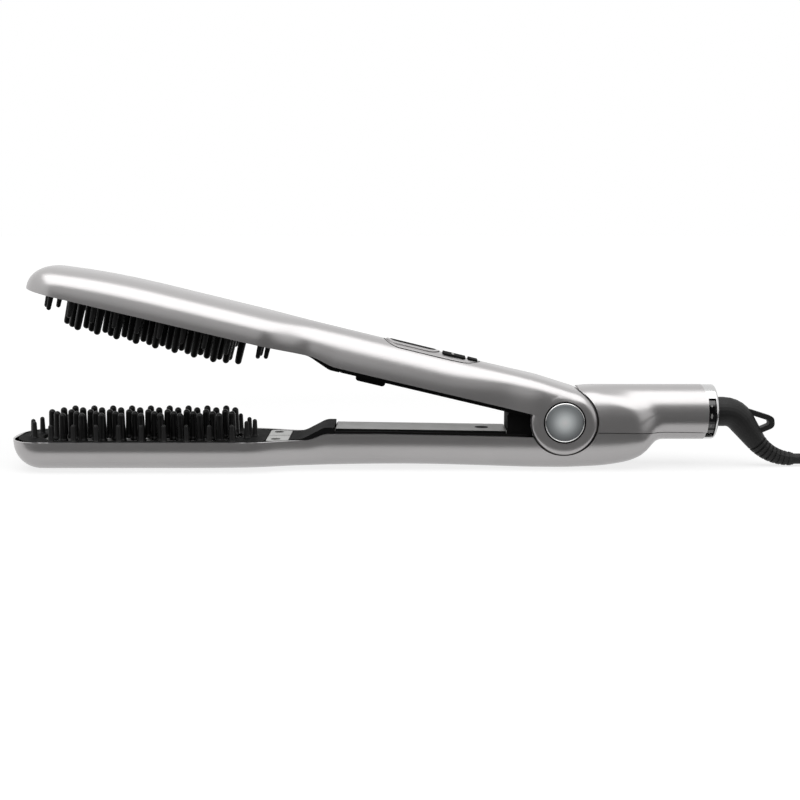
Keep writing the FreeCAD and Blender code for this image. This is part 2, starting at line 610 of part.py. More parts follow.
def build_upper_casing():
    body = new_body("upper_casing")
    side = sketch_on(body, "XZ_Plane", "upper_side")
    add_outline(side, [
        ("-upper_reach", "upper_rim", "0"),
        ("-neck_reach", "upper_rim", "12"),
        ("-neck_reach + 12", "upper_neck_rim", "12"),
        ("0", "upper_neck_rim", "0"),
        ("0", "knuckle_radius", "0"),
        ("-hinge_fall", "hinge_top", "40"),
        ("-upper_reach", "upper_top", "upper_nose_round"),
    ])
    pad(body, side, "head_width", symmetric=True)
    cheek = "(knuckle_width / 2 - 0.4)"
    hips = [("-hip_start", "handle_width / 2", "60"), ("-hip_full", cheek, "60")]
    trim_to_plan(body, "upper_plan",
                 arm_plan("upper_reach", "0", "0", "20", base="0", end_half=hips))

    def on_roof(edge):
        box = edge.BoundBox
        return box.ZMin > size("upper_rim") + 0.5 and box.XMax < -0.5

    fillet(body, "roof_round", on_roof)

    drum = sketch_on(body, "XZ_Plane", "upper_drum")
    add_circle(drum, "0", "0", "knuckle_radius")
    pad(body, drum, "knuckle_width", symmetric=True)

    for label, inset, drop in (("wide", "0", "ceiling_step"), ("narrow", "ceiling_step", "0")):
        cavity = sketch_on(body, "XY_Plane", "upper_cavity_" + label,
                           f"knuckle_radius - upper_roof - {drop}")
        hollow = [("-hip_start", f"(handle_width / 2 - wall - {inset})", "60"),
                  ("-hip_full", f"(knuckle_width / 2 - cheek_thick - {inset})", "60")]
        add_outline(cavity, arm_plan("upper_reach", f"(wall + {inset})", f"(nose_wall + {inset})",
                                     "-8", base="0", end_half=hollow))
        pocket(body, cavity, "30")
    seat = sketch_on(body, "XY_Plane", "upper_frame_seat", "upper_rim + frame_thick")
    add_outline(seat, arm_plan("upper_reach", "wall", "nose_seat", "-100", base="0"))
    pocket(body, seat, "30")

    inner = "(knuckle_width - 2 * cheek_thick)"
    room = sketch_on(body, "XZ_Plane", "upper_drum_room")
    add_circle(room, "0", "0", "knuckle_radius - upper_roof")
    pocket(body, room, inner, symmetric=True)
    under = sketch_on(body, "XZ_Plane", "upper_drum_under")
    add_rectangle(under, "-knuckle_radius - 1", "knuckle_radius + 1", "-knuckle_radius - 1", "4")
    pocket(body, under, inner, symmetric=True)

    pin = sketch_on(body, "XZ_Plane", "upper_pin_hole")
    add_circle(pin, "0", "0", "pin_radius")
    pocket(body, pin, "60", symmetric=True)
    for label, lift, reverse in (("right", "knuckle_width / 2 - cap_seat", True),
                                 ("left", "-knuckle_width / 2 + cap_seat", False)):
        recess = sketch_on(body, "XZ_Plane", "upper_cap_recess_" + label, f"({lift})")
        add_circle(recess, "0", "0", "cap_radius + gap")
        pocket(body, recess, "5", reverse=reverse)

    panel = sketch_on(body, "XY_Plane", "upper_panel_opening", "5")
    add_outline(panel, stadium("panel_front", "panel_rear", "panel_width / 2"))
    pocket(body, panel, "30", reverse=True)
    on_upper_arm(body)


# ---------------------------------------------------------------- heads

def head_place(level):
    """X of the hinge, reach of the nose and reach of the plate opening's front of one head."""
    if level:
        return "0", "upper_reach", "(upper_reach - upper_plate_setback)"
    return "hinge_x", "nose_reach", "(nose_reach - plate_setback)"


def build_frame(name, level, floor):
    """Black frame with a long rounded opening, seated inside the casing's rim."""
    base, nose, opening_front = head_place(level)
    body = new_body(name)
    plate = sketch_on(body, "XY_Plane", name + "_plan", floor)
    inset = "(wall + seat_gap)"
    front = f"({base} - {nose} + nose_seat + seat_gap)"
    half = f"(head_width / 2 - {inset})"
    rear = f"({base} - frame_rear)"
    corner = "(nose_corner - nose_seat)"
    narrow = "(head_width / 2 - wall - 3)"
    right = [(front, half, corner), (f"({base} - head_reach - 1)", half, "20"),
             (f"({rear} - 1.5)", narrow, "1.5"), (rear, f"({narrow} - 4)", "1.5")]
    add_outline(plate, [(x, f"(-{y})", r) for x, y, r in right] + right[::-1])
    rounding = "plate_half - 0.1"
    add_outline(plate, [(f"({base} - {opening_front})", "-plate_half", rounding),
                        (f"({base} - plate_rear)", "-plate_half", rounding),
                        (f"({base} - plate_rear)", "plate_half", rounding),
                        (f"({base} - {opening_front})", "plate_half", rounding)])
    pad(body, plate, "frame_thick")
    if level:
        on_upper_arm(body)


def build_heater_plate(name, level, floor):
    base, nose, opening_front = head_place(level)
    body = new_body(name)
    plate = sketch_on(body, "XY_Plane", name + "_plan", floor)
    half = "(plate_half + plate_lap)"
    front = f"({base} - {opening_front} - plate_lap)"
    rear = f"({base} - plate_rear + plate_lap)"
    add_outline(plate, [(front, f"(-{half})", f"({half} - 2)"), (rear, f"(-{half})", "6"),
                        (rear, half, "6"), (front, half, f"({half} - 2)")])
    pad(body, plate, "plate_thick")
    if level:
        on_upper_arm(body)


def tapered_pin(x, y, foot_z, foot_radius, tip_z, tip_radius, sides=6):
    """A moulded bristle: a slim faceted taper that ends in a narrower tip."""
    lift = tip_z - foot_z
    levels = ((foot_z, foot_radius), (foot_z + lift * 0.92, tip_radius), (tip_z, tip_radius * 0.6))
    rings = []
    for z, radius in levels:
        rings.append([Vector(x + radius * math.cos(2 * math.pi * (i + 0.5) / sides),
                             y + radius * math.sin(2 * math.pi * (i + 0.5) / sides), z)
                      for i in range(sides)])
    faces = [Part.Face(Part.makePolygon(ring + ring[:1])) for ring in (rings[0], rings[-1])]
    for lower, upper in zip(rings, rings[1:]):
        for i in range(sides):
            j = (i + 1) % sides
            faces.append(Part.Face(Part.makePolygon([lower[i], lower[j], upper[j], upper[i], lower[i]])))
    solid = Part.Solid(Part.Shell(faces))
    if solid.Volume < 0:
        solid.reverse()
    return solid


def long_bristle_places(level):
    """(reach ahead of the hinge, y) of every long bristle: five rows in a chevron."""
    base, nose, opening_front = head_place(level)
    shift = size("pitch") / 2 if level else 0
    first = size(opening_front) - size("bristle_inset") - shift
    half = size("plate_half")
    places = []
    for row in range(-2, 3):
        y = row * size("row_pitch")
        end_rounding = half - math.sqrt(half ** 2 - y ** 2)
        last = size("plate_rear") + end_rounding + size("bristle_base")
        reach = first - abs(row) * size("row_step")
        while reach >= last:
            places.append((reach, y))
            reach -= size("pitch")
    return places


def short_bristle_places(level):
    """(reach ahead of the hinge, y) of every short bristle round the opening."""
    base, nose, opening_front = head_place(level)
    prefix = "upper_" if level else ""
    places = []
    reach = size(opening_front) - size("edge_inset") - (size("edge_pitch") / 2 if level else 0)
    while reach >= size("plate_rear") + size("edge_base"):
        places += [(reach, -size("edge_offset")), (reach, size("edge_offset"))]
        reach -= size("edge_pitch")
    front = size(opening_front) + size(prefix + "edge_front_out")
    behind_front = front - size(prefix + "edge_front_step")
    front_half = size(prefix + "edge_front_half")
    rear = size("plate_rear") - size(prefix + "edge_rear_out")
    ahead_rear = rear + size("edge_rear_step")
    rear_half = size("row_pitch")
    places += [(front, 0), (behind_front, -front_half), (behind_front, front_half)]
    places += [(rear, 0), (ahead_rear, -rear_half), (ahead_rear, rear_half)]
    return places


def build_pins(name, base_x, places, foot, base_radius, tip, tip_radius, level):
    pins = doc.addObject("Part::Feature", name)
    pins.Label = name
    pins.Shape = Part.makeCompound([
        tapered_pin(base_x - reach, y, size(foot), size(base_radius), size(tip), size(tip_radius))
        for reach, y in places])
    if level:
        on_upper_arm(pins)


# ---------------------------------------------------------------- simple pieces

def place_box(name, x0, x1, y0, y1, z0, z1):
    box = doc.addObject("Part::Box", name)
    for prop, low, high in (("Length", x0, x1), ("Width", y0, y1), ("Height", z0, z1)):
        box.setExpression(prop, bound(f"({high}) - ({low})"))
    for axis, low in (("x", x0), ("y", y0), ("z", z0)):
        box.setExpression("Placement.Base." + axis, bound(low))
    return box


def place_cylinder(name, axis, x, y, z, radius, length):
    """A cylinder along +X, +Y or +Z from the point given."""
    turn = {"x": Rotation(Vector(0, 1, 0), 90), "y": Rotation(Vector(1, 0, 0), -90),
            "z": Rotation()}[axis]
    cylinder = doc.addObject("Part::Cylinder", name)
    cylinder.Placement = Placement(Vector(0, 0, 0), turn)
    cylinder.setExpression("Radius", bound(radius))
    cylinder.setExpression("Height", bound(length))
    for direction, value in (("x", x), ("y", y), ("z", z)):
        cylinder.setExpression("Placement.Base." + direction, bound(value))
    return cylinder


def join(name, pieces, level=False):
    """Several solids as one named piece."""
    whole = doc.addObject("Part::Compound", name)
    whole.Links = pieces
    whole.Label = name
    if level:
        on_upper_arm(whole)
    return whole


def fuse(name, pieces, level=False):
    whole = doc.addObject("Part::MultiFuse", name)
    whole.Shapes = pieces
    whole.Label = name
    if level:
        on_upper_arm(whole)
    return whole


def cut(name, base, tool, level=False):
    whole = doc.addObject("Part::Cut", name)
    whole.Base = base
    whole.Tool = tool
    whole.Label = name
    if level:
        on_upper_arm(whole)
    return whole


def build_profile(name, corners, width, level=False):
    """A piece drawn in side view and given a width about the middle plane."""
    body = new_body(name)
    side = sketch_on(body, "XZ_Plane", name + "_side")
    add_outline(side, corners)
    pad(body, side, width, symmetric=True)
    if level:
        on_upper_arm(body)
    return body


def build_lower_liner():
    """Black lining between the lower casing's rim and the tank lid."""
    body = build_profile("lower_liner", [
        (ahead("ramp_rear - gap"), "rim_z", "0"),
        (ahead("knuckle_radius + 0.7"), "rim_z", "0"),
        (ahead("knuckle_radius + 0.7"), "hip_rim_z + 0.5", "0"),
        (ahead("rim_fall_reach"), "neck_rim_z + 0.5", "60"),
        (ahead("ramp_rear - gap"), "neck_rim_z + 0.5", "0"),
    ], "handle_width - 2 * wall - 2 * seat_gap")
    inside = sketch_on(body, "XY_Plane", "lower_liner_inside")
    add_rectangle(inside, ahead("ramp_rear + 1"), ahead("block_rear - 4"),
                  "-tank_width / 2 - seat_gap", "tank_width / 2 + seat_gap")
    pocket(body, inside, "60", reverse=True)


def build_ramp(name, level, sign, foot, front, top):
    """Black cover that steps from the head down to the handle."""
    base = "0" if level else "hinge_x"
    build_profile(name, [
        (f"({base} - tab_rear + gap)", foot, "0"),
        (f"({base} - ramp_rear)", foot, "0"),
        (f"({base} - ramp_rear)", top, "0"),
        (f"({base} - ramp_rear - ramp_crest)", top, "7"),
        (f"({base} - tab_rear + gap + ramp_nose)", f"({front} {sign} 0.1)", "10"),
        (f"({base} - tab_rear + gap)", front, "0"),
    ][::(-1 if level else 1)], "handle_width - 2 * wall - 0.4", level)


def build_tabs(name, base, z, level):
    """Two end tabs of the heater plate, one each side of the middle line."""
    tabs = new_body(name)
    tabs.AllowCompound = True
    plan = sketch_on(tabs, "XY_Plane", name + "_plan", z)
    for sign in ("-", ""):
        front = f"({base} - frame_rear + 2 * seat_gap)"
        rear = f"({base} - tab_rear)"
        add_outline(plan, [(front, f"({sign}tab_slot / 2)", "0"), (front, f"({sign}tab_half)", "1.5"),
                           (rear, f"({sign}tab_rear_half)", "0.8"), (rear, f"({sign}tab_slot / 2)", "0")])
        add_circle(plan, f"({base} - frame_rear + tab_hole_set)", f"({sign}tab_hole_y)", "tab_hole")
    pad(tabs, plan, "frame_thick")
    if level:
        on_upper_arm(tabs)


def build_tank():
    tub = build_profile("water_tank", [
        (ahead("ramp_rear - gap"), "floor_thick + seat_gap", "0"),
        (ahead("tank_rear + gap"), "floor_thick + seat_gap", "0"),
        (ahead("tank_rear + gap"), "rim_z - 0.4", "0"),
        (ahead("ramp_rear - gap"), "rim_z - 0.4", "0"),
    ], "handle_width - 2 * wall - 2 * seat_gap")
    inside = sketch_on(tub, "XY_Plane", "tank_inside", "floor_thick + tub_wall")
    half = "handle_width / 2 - wall - seat_gap - tub_wall"
    add_rectangle(inside, ahead("ramp_rear - gap - tub_wall"), ahead("tank_rear + gap + tub_wall"),
                  f"-({half})", half)
    pocket(tub, inside, "60", reverse=True)

    lid = build_profile("tank_lid", [
        (ahead("ramp_rear - gap"), "rim_z - 0.3", "0"),
        (ahead("tank_rear + gap"), "rim_z - 0.3", "0"),
        (ahead("tank_rear + gap"), "tank_rear_top", "0"),
        (ahead("ramp_rear - gap"), "tank_top", "1"),
    ], "tank_width")
    hole = sketch_on(lid, "XY_Plane", "lid_hole")
    add_circle(hole, ahead("fill_reach"), "0", "fill_radius + running_gap")
    pocket(lid, hole, "60", reverse=True)
    top = "(tank_rear_top + 0.17)"
    stem = place_cylinder("plug_stem", "z", ahead("fill_reach"), "0", f"{top} - fill_depth",
                          "fill_radius", "fill_depth")
    join("fill_plug", [stem])


def build_hinge():
    build_profile("hinge_block", [
        (ahead("tank_rear"), "rim_z", "0"),
        (ahead("block_rear"), "rim_z", "0"),
        (ahead("block_rear"), "block_top", "1"),
        (ahead("tank_rear"), "block_top", "2.5"),
    ], "block_width")
    half = "knuckle_width / 2"
    pin = place_cylinder("pin_rod", "y", "0", f"-({half} - cap_seat)", "0", "pin_radius",
                         f"2 * ({half} - cap_seat)")
    join("hinge_pin", [pin], level=True)
    bushes = []
    ear = "(knuckle_width / 2 - cheek_thick - gap)"
    for label, start in (("right", f"-{ear}"), ("left", f"({ear} - ear_thick)")):
        outer = place_cylinder("bush_outer_" + label, "y", "hinge_x", start, "hinge_z",
                               "bush_radius", "ear_thick")
        inner = place_cylinder("bush_inner_" + label, "y", "hinge_x", start, "hinge_z",
                               "pin_radius + running_gap", "ear_thick")
        bushes.append(cut("bush_" + label, outer, inner))
    join("hinge_bushes", bushes)
    caps = []
    for label, start in (("right", f"-({half} + cap_thick - cap_seat)"),
                         ("left", f"({half} - cap_seat)")):
        caps.append(place_cylinder("cap_" + label, "y", "0", start, "0", "cap_radius", "cap_thick"))
    join("hinge_caps", caps, level=True)
    coil_outer = place_cylinder("coil_outer", "y", "0", "-coil_length / 2", "0",
                                "pin_radius + coil_room + coil_wall", "coil_length")
    coil_inner = place_cylinder("coil_inner", "y", "0", "-coil_length / 2", "0",
                                "pin_radius + coil_room", "coil_length")
    coil = cut("coil", coil_outer, coil_inner)
    leg = place_cylinder("coil_leg", "x", "-leg_length - 2", "coil_length / 2 - leg_radius - 0.2",
                         "pin_radius + coil_room + leg_radius", "leg_radius", "leg_length")
    fuse("opening_spring", [coil, leg], level=True)


def build_upper_liner():
    body = build_profile("upper_liner", [
        ("-ramp_rear + gap", "-liner_drop", "0.8"),
        ("-knuckle_radius - 0.6", "-liner_drop", "0"),
        ("-knuckle_radius - 0.6", "upper_neck_rim + 1.2", "0"),
        ("-ramp_rear + gap", "upper_neck_rim + 1.2", "0"),
    ], "knuckle_width - 2 * cheek_thick - 4 * seat_gap")
    notch = sketch_on(body, "XY_Plane", "upper_liner_notch", "-20")
    add_rectangle(notch, "-tank_rear - 0.9", "-10", "-block_width / 2 - gap", "block_width / 2 + gap")
    pocket(body, notch, "60", reverse=True)
    on_upper_arm(body)
    build_profile("closing_bumper", [
        ("-bumper_front", "-liner_drop - bumper_drop", "1.5"),
        ("-bumper_rear", "-liner_drop - bumper_drop", "1.5"),
        ("-bumper_rear", "-liner_drop", "0"),
        ("-bumper_front", "-liner_drop", "0"),
    ], "bumper_width", level=True)


def button_plan(front, rear, half, room):
    """Corners of a button in plan, or of its opening with some room round it."""
    rounding = f"button_corner + {room}"
    return [(f"-{front} - {room}", f"-{half} - {room}", rounding),
            (f"-{rear} + {room}", f"-{half} - {room}", rounding),
            (f"-{rear} + {room}", f"{half} + {room}", rounding),
            (f"-{front} - {room}", f"{half} + {room}", rounding)]


def build_controls():
    """Bezel, temperature key, two buttons, their switches and board."""
    board_top = "(knuckle_radius - board_drop)"
    top = roof("66")
    bezel = new_body("control_bezel")
    plan = sketch_on(bezel, "XY_Plane", "bezel_plan", board_top)
    add_outline(plan, stadium("panel_front - seat_gap", "panel_rear + seat_gap",
                              "panel_width / 2 - seat_gap"))
    pad(bezel, plan, f"{top} + bezel_rise - {board_top}")
    holes = sketch_on(bezel, "XY_Plane", "bezel_holes")
    add_outline(holes, stadium("key_front + gap", "key_rear - gap", "key_width / 2 + gap"))
    buttons = (("steam_button", "button_front", "button_rear", "(key_width / 2 - button_inset)"),
               ("power_button", "power_front", "power_rear", "(key_width / 2 - power_inset)"))
    for name, front, rear, half in buttons:
        add_outline(holes, button_plan(front, rear, half, "gap"))
    pocket(bezel, holes, "60", reverse=True)
    axle = sketch_on(bezel, "XZ_Plane", "bezel_axle_hole")
    axle_z = "(knuckle_radius - axle_drop)"
    middle = "(-(key_front + key_rear) / 2)"
    add_circle(axle, middle, axle_z, "axle_radius")
    pocket(bezel, axle, "key_width + 2 * axle_end", symmetric=True)
    on_upper_arm(bezel)

    key = new_body("temperature_rocker")
    plan = sketch_on(key, "XY_Plane", "key_plan", "knuckle_radius - key_depth")
    add_outline(plan, stadium("key_front", "key_rear", "key_width / 2"))
    pad(key, plan, f"{top} + key_rise - knuckle_radius + key_depth")
    hole = sketch_on(key, "XZ_Plane", "key_axle_hole")
    add_circle(hole, middle, axle_z, "axle_radius + running_gap")
    pocket(key, hole, "60", symmetric=True)
    on_upper_arm(key)
    rod = place_cylinder("axle_rod", "y", middle, "-key_width / 2 - axle_end", axle_z, "axle_radius",
                         "key_width + 2 * axle_end")
    join("rocker_axle", [rod], level=True)

    for name, front, rear, half in buttons:
        button = new_body(name)
        plan = sketch_on(button, "XY_Plane", name + "_plan", "knuckle_radius - button_depth")
        add_outline(plan, button_plan(front, rear, half, "0"))
        pad(button, plan, f"{top} + button_rise - knuckle_radius + button_depth")
        on_upper_arm(button)

    board = place_box("board_plate", "-panel_front - 1", "-panel_rear + 1", "-panel_width / 2 - 1",
                      "panel_width / 2 + 1", f"{board_top} - board_thick", board_top)
    join("control_board", [board], level=True)
    switches = []
    for i, reach in enumerate(("key_front - 4", "key_rear + 4",
                               "(button_front + button_rear) / 2", "(power_front + power_rear) / 2")):
        switches.append(place_box(f"switch_{i}", f"-({reach}) - switch_half", f"-({reach}) + switch_half",
                                  "-switch_half", "switch_half", board_top,
                                  f"{board_top} + switch_height"))
    join("key_switches", switches, level=True)


def build_inner_works():
    under_plate = "(rim_z - frame_thick - plate_thick)"
    floor = "floor_thick + seat_gap"
    opening_front = head_place(False)[2]
    element = place_box("lower_heater_strip", ahead(f"{opening_front} - 5"), ahead("plate_rear + 5"),
                        "-element_width / 2", "element_width / 2",
                        f"{under_plate} - element_thick", under_plate)
    join("lower_heater_element", [element])
    chamber = place_box("chamber_block", ahead(f"{opening_front} - 8"), ahead("plate_rear + 10"),
                        "-chamber_width / 2", "chamber_width / 2",
                        floor, f"{under_plate} - element_thick - seat_gap")
    join("steam_chamber", [chamber])
    pump = place_box("pump_case", ahead("tab_rear - 3"), ahead("ramp_rear + 1"),
                     "-pump_width / 2", "pump_width / 2", floor, "rim_z - frame_thick - 0.2")
    join("water_pump", [pump])
    pipe = place_cylinder("steam_pipe", "x", ahead("plate_rear + 10"), "0",
                          f"{floor} + pipe_radius + 1.1", "pipe_radius", "plate_rear + 13 - tab_rear")
    join("steam_tube", [pipe])
    over_plate = "(upper_rim + frame_thick + plate_thick)"
    upper_front = head_place(True)[2]
    upper_element = place_box("upper_heater_strip", f"-{upper_front} + 5", "-plate_rear - 5",
                              "-element_width / 2", "element_width / 2",
                              over_plate, f"{over_plate} + element_thick")
    join("upper_heater_element", [upper_element], level=True)
    board_low = "(rear_axis_z - 5.2)"
    board_high = f"({board_low} + board_thick)"
    board = place_box("main_board_plate", behind("bore_reach + 2"), behind("cap_reach - 4"),
                      "-board_width / 2", "board_width / 2", board_low, board_high)
    relay = place_box("board_relay", behind("bore_reach + 6"), behind("cap_reach - 18"),
                      "-6", "6", board_high, f"{board_high} + relay_height")
    capacitor = place_box("board_capacitor", behind("cap_reach - 15"), behind("cap_reach - 7"),
                          "-5", "5", board_high, f"{board_high} + relay_height - 1")
    fuse("main_board", [board, relay, capacitor])


# ---------------------------------------------------------------- cord side

def ring_points(centre, direction, radius, sides):
    """Corners of a regular polygon round a point of the boot's axis."""
    upward = Vector(0, 1, 0).cross(direction)
    points = []
    for i in range(sides):
        angle = 2 * math.pi * i / sides
        points.append(centre + Vector(0, 1, 0) * (radius * math.cos(angle))
                      + upward * (radius * math.sin(angle)))
    return points


def skin(rings):
    """A closed solid through rings that have as many corners each."""
    sides = len(rings[0])
    faces = [Part.Face(Part.makePolygon(ring + ring[:1])) for ring in (rings[0], rings[-1])]
    for near_ring, far_ring in zip(rings, rings[1:]):
        for i in range(sides):
            j = (i + 1) % sides
            for corners in ((near_ring[i], near_ring[j], far_ring[j]),
                            (near_ring[i], far_ring[j], far_ring[i])):
                faces.append(Part.Face(Part.makePolygon(list(corners) + [corners[0]])))
    solid = Part.Solid(Part.Shell(faces))
    if solid.Volume < 0:
        solid.reverse()
    return solid


def elbow_rings():
    """Rings of the gland from the rear of the brush round the elbow to the strain relief."""
    sides = 28
    drop = math.radians(size("gland_drop"))
    bend = size("elbow_bend")
    back = bend * math.tan(drop / 2)
    axis_z = size("rear_axis_z")
    rear_x = size(behind("cap_reach + cap_length"))
    corner_x = rear_x + size("gland_corner")
    wide = size("gland_radius")
    level = Vector(1, 0, 0)
    bevel = size("gland_bevel")
    front_x = rear_x + size("gap")
    rings = [ring_points(Vector(front_x, 0, axis_z), level, wide - bevel, sides),
             ring_points(Vector(front_x + bevel, 0, axis_z), level, wide, sides)]
    steps = 5
    for i in range(steps + 1):
        angle = drop * i / steps
        point = Vector(corner_x - back + bend * math.sin(angle), 0, axis_z - bend * (1 - math.cos(angle)))
        radius = wide - bevel * i / steps
        rings.append(ring_points(point, Vector(math.cos(angle), 0, -math.sin(angle)), radius, sides))
    slanted = Vector(math.cos(drop), 0, -math.sin(drop))
    end = Vector(corner_x, 0, axis_z) + slanted * size("elbow_length")
    rings.append(ring_points(end, slanted, size("boot_radius"), sides))
    return rings


def build_swivel():
    socket_outer = place_cylinder("socket_outer", "x", behind("cap_reach"), "0", "rear_axis_z",
                                  "neck_radius + socket_wall", "cap_length")
    socket_bore = place_cylinder("socket_bore", "x", behind("cap_reach"), "0", "rear_axis_z",
                                 "neck_radius + running_gap", "cap_length")
    cut("swivel_socket", socket_outer, socket_bore)

    rear = "(cap_reach + cap_length)"
    corner = behind(f"{rear} + gland_corner")
    flange_x = behind("cap_reach - flange_thick - gap")
    neck = place_cylinder("gland_neck", "x", flange_x, "0", "rear_axis_z", "neck_radius",
                          "cap_length + flange_thick + 3 * gap")
    flange = place_cylinder("gland_flange", "x", flange_x, "0", "rear_axis_z",
                            "neck_radius + flange_rim", "flange_thick")
    elbow = doc.addObject("Part::Feature", "gland_elbow")
    elbow.Shape = skin(elbow_rings())
    loop = new_body("gland_loop")
    side = sketch_on(loop, "XZ_Plane", "loop_side")
    tip = f"({corner} + loop_length)"
    low = "(rear_axis_z - loop_low)"
    add_outline(side, [(f"{tip} - 17.4", f"{low} + 13.2", "0"), (f"{tip} - 11.2", f"{low} + 11.2", "8"),
                       (f"{tip} - 0.5", f"{low} + 7.8", "2.6"), (tip, f"{low} + 3.0", "2.6"),
                       (f"{tip} - 6.9", low, "0"), (f"{tip} - 14.9", f"{low} + 2.2", "0")])
    add_outline(side, [(f"{tip} - 10.9 - loop_bar", f"{low} + 9.4", "1"),
                       (f"{tip} - 0.6 - loop_bar", f"{low} + 8.5 - loop_bar", "0.6"),
                       (f"{tip} - 0.3 - loop_bar", f"{low} + 2.0 + loop_bar", "0.6"),
                       (f"{tip} - 7.5 - loop_bar", f"{low} - 1.1 + loop_bar", "1")])
    pad(loop, side, "loop_thick", symmetric=True)
    fuse("cord_gland", [neck, flange, elbow, loop])


def boot_frame(angle):
    """Point and direction on the bent axis of the strain relief, at an angle below level."""
    radius = boot_bend()
    corner_x = size(behind("cap_reach + cap_length + gland_corner"))
    drop = math.radians(size("gland_drop"))
    start_x = corner_x + size("elbow_length") * math.cos(drop)
    x = start_x + radius * (math.sin(drop) - math.sin(angle))
    z = size("boot_tip_z") + radius * (1 - math.cos(angle))
    return Vector(x, 0, z), Vector(math.cos(angle), 0, -math.sin(angle))


def boot_bend():
    """Bend radius that brings the strain relief from the elbow down to level at its tip."""
    drop = math.radians(size("gland_drop"))
    start_z = size("rear_axis_z") - size("elbow_length") * math.sin(drop)
    return (start_z - size("boot_tip_z")) / (1 - math.cos(drop))


def build_strain_relief():
    """Tapered ribbed boot, bent from the elbow down to the table."""
    drop = math.radians(size("gland_drop"))
    ribs = int(size("boot_ribs"))
    sides = 14
    rings = []
    for i in range(ribs + 1):
        start = i / (ribs + 1)
        for share, depth in ((start, 0), (start + 0.6 / (ribs + 1), 0),
                             (start + 0.61 / (ribs + 1), 1), (start + 0.99 / (ribs + 1), 1)):
            point, direction = boot_frame(drop * (1 - share))
            radius = size("boot_radius") + (size("boot_tip_radius") - size("boot_radius")) * share
            groove = size("boot_groove") * (1 - 0.7 * share)
            rings.append(ring_points(point, direction, radius - groove * depth, sides))
    point, direction = boot_frame(0)
    rings.append(ring_points(point, direction, size("boot_tip_radius") - 0.2, sides))
    relief = doc.addObject("Part::Feature", "strain_relief")
    relief.Label = "strain_relief"
    relief.Shape = skin(rings)


def rounded_path(points):
    """Straight runs joined by tangent arcs through the points, and the arcs' radii."""
    edges = []
    radii = []
    here = points[0]
    for i in range(1, len(points) - 1):
        before = points[i] - points[i - 1]
        after = points[i + 1] - points[i]
        turn = before.getAngle(after)
        radius = 0.45 * min(before.Length, after.Length) / math.tan(turn / 2)
        back = radius * math.tan(turn / 2)
        into = before.normalize()
        out = after.normalize()
        first = points[i] - into * back
        last = points[i] + out * back
        inward = (out - into).normalize()
        centre = points[i] + inward * (radius / math.cos(turn / 2))
        middle = centre - inward * radius
        edges.append(Part.LineSegment(here, first).toShape())
        edges.append(Part.Arc(first, middle, last).toShape())
        radii.append(radius)
        here = last
    edges.append(Part.LineSegment(here, points[-1]).toShape())
    return Part.Wire(edges), radii


def cord_points():
    """Hand-chosen route of the cord on the table, from the strain relief to the fold."""
    tip, direction = boot_frame(0)
    low = size("cord_radius") + 0.1
    half = size("hank_half")
    return [
        tip,
        Vector(tip.x + 14, 0, tip.z),
        Vector(tip.x + 29, -4.5, low),
        Vector(tip.x + 43, -14.5, low),
        Vector(tip.x + 58, -half, low),
        Vector(size("hank_x - hank_entry"), -half, low),
    ]


def build_cord():
    radius = size("cord_radius")
    path, radii = rounded_path(cord_points())
    print("cord arc radii", [round(value, 1) for value in radii])
    start = path.Edges[0]
    profile = Part.Wire(Part.makeCircle(radius, start.valueAt(start.FirstParameter),
                                        start.tangentAt(start.FirstParameter)))
    tube = path.makePipeShell([profile], True, False)
    expected = math.pi * radius ** 2 * path.Length
    print("cord tube volume share", round(tube.Volume / expected, 4), "length", round(path.Length, 1))
    cord = doc.addObject("Part::Feature", "cord_tube")
    cord.Label = "cord_tube"
    cord.Shape = tube

    hank = new_body("cord_hank")
    plan = sketch_on(hank, "XY_Plane", "hank_plan", "0.1")
    outer = "(hank_half + cord_radius)"
    entry_x = "(hank_x - hank_entry)"
    entry_y = "(-hank_half + cord_radius)"
    near_end = f"(hank_x - {outer} + hank_nose - hank_entry * 1.5)"
    far_end = f"(hank_x + hank_run + {outer})"
    add_outline(plan, [(near_end, entry_y, "hank_half * 0.7"), (entry_x, entry_y, "0"),
                       (entry_x, f"-{outer}", "0"), (far_end, f"-{outer}", f"{outer} - 0.1"),
                       (far_end, outer, f"{outer} - 0.1"), (near_end, outer, "hank_half")])
    pad(hank, plan, "hank_layers * 2 * cord_radius")
    tie_x = "hank_x + tie_reach"
    top = "hank_layers * 2 * cord_radius + 0.1"
    tie = place_box("tie_outer", f"{tie_x} - tie_width / 2", f"{tie_x} + tie_width / 2",
                    f"-{outer} - tie_thick", f"{outer} + tie_thick", "0", f"{top} + tie_thick")
    tie_room = place_box("tie_room", f"{tie_x} - tie_width", f"{tie_x} + tie_width",
                         f"-{outer}", outer, "0.1", top)
    cut("cord_tie", tie, tie_room)


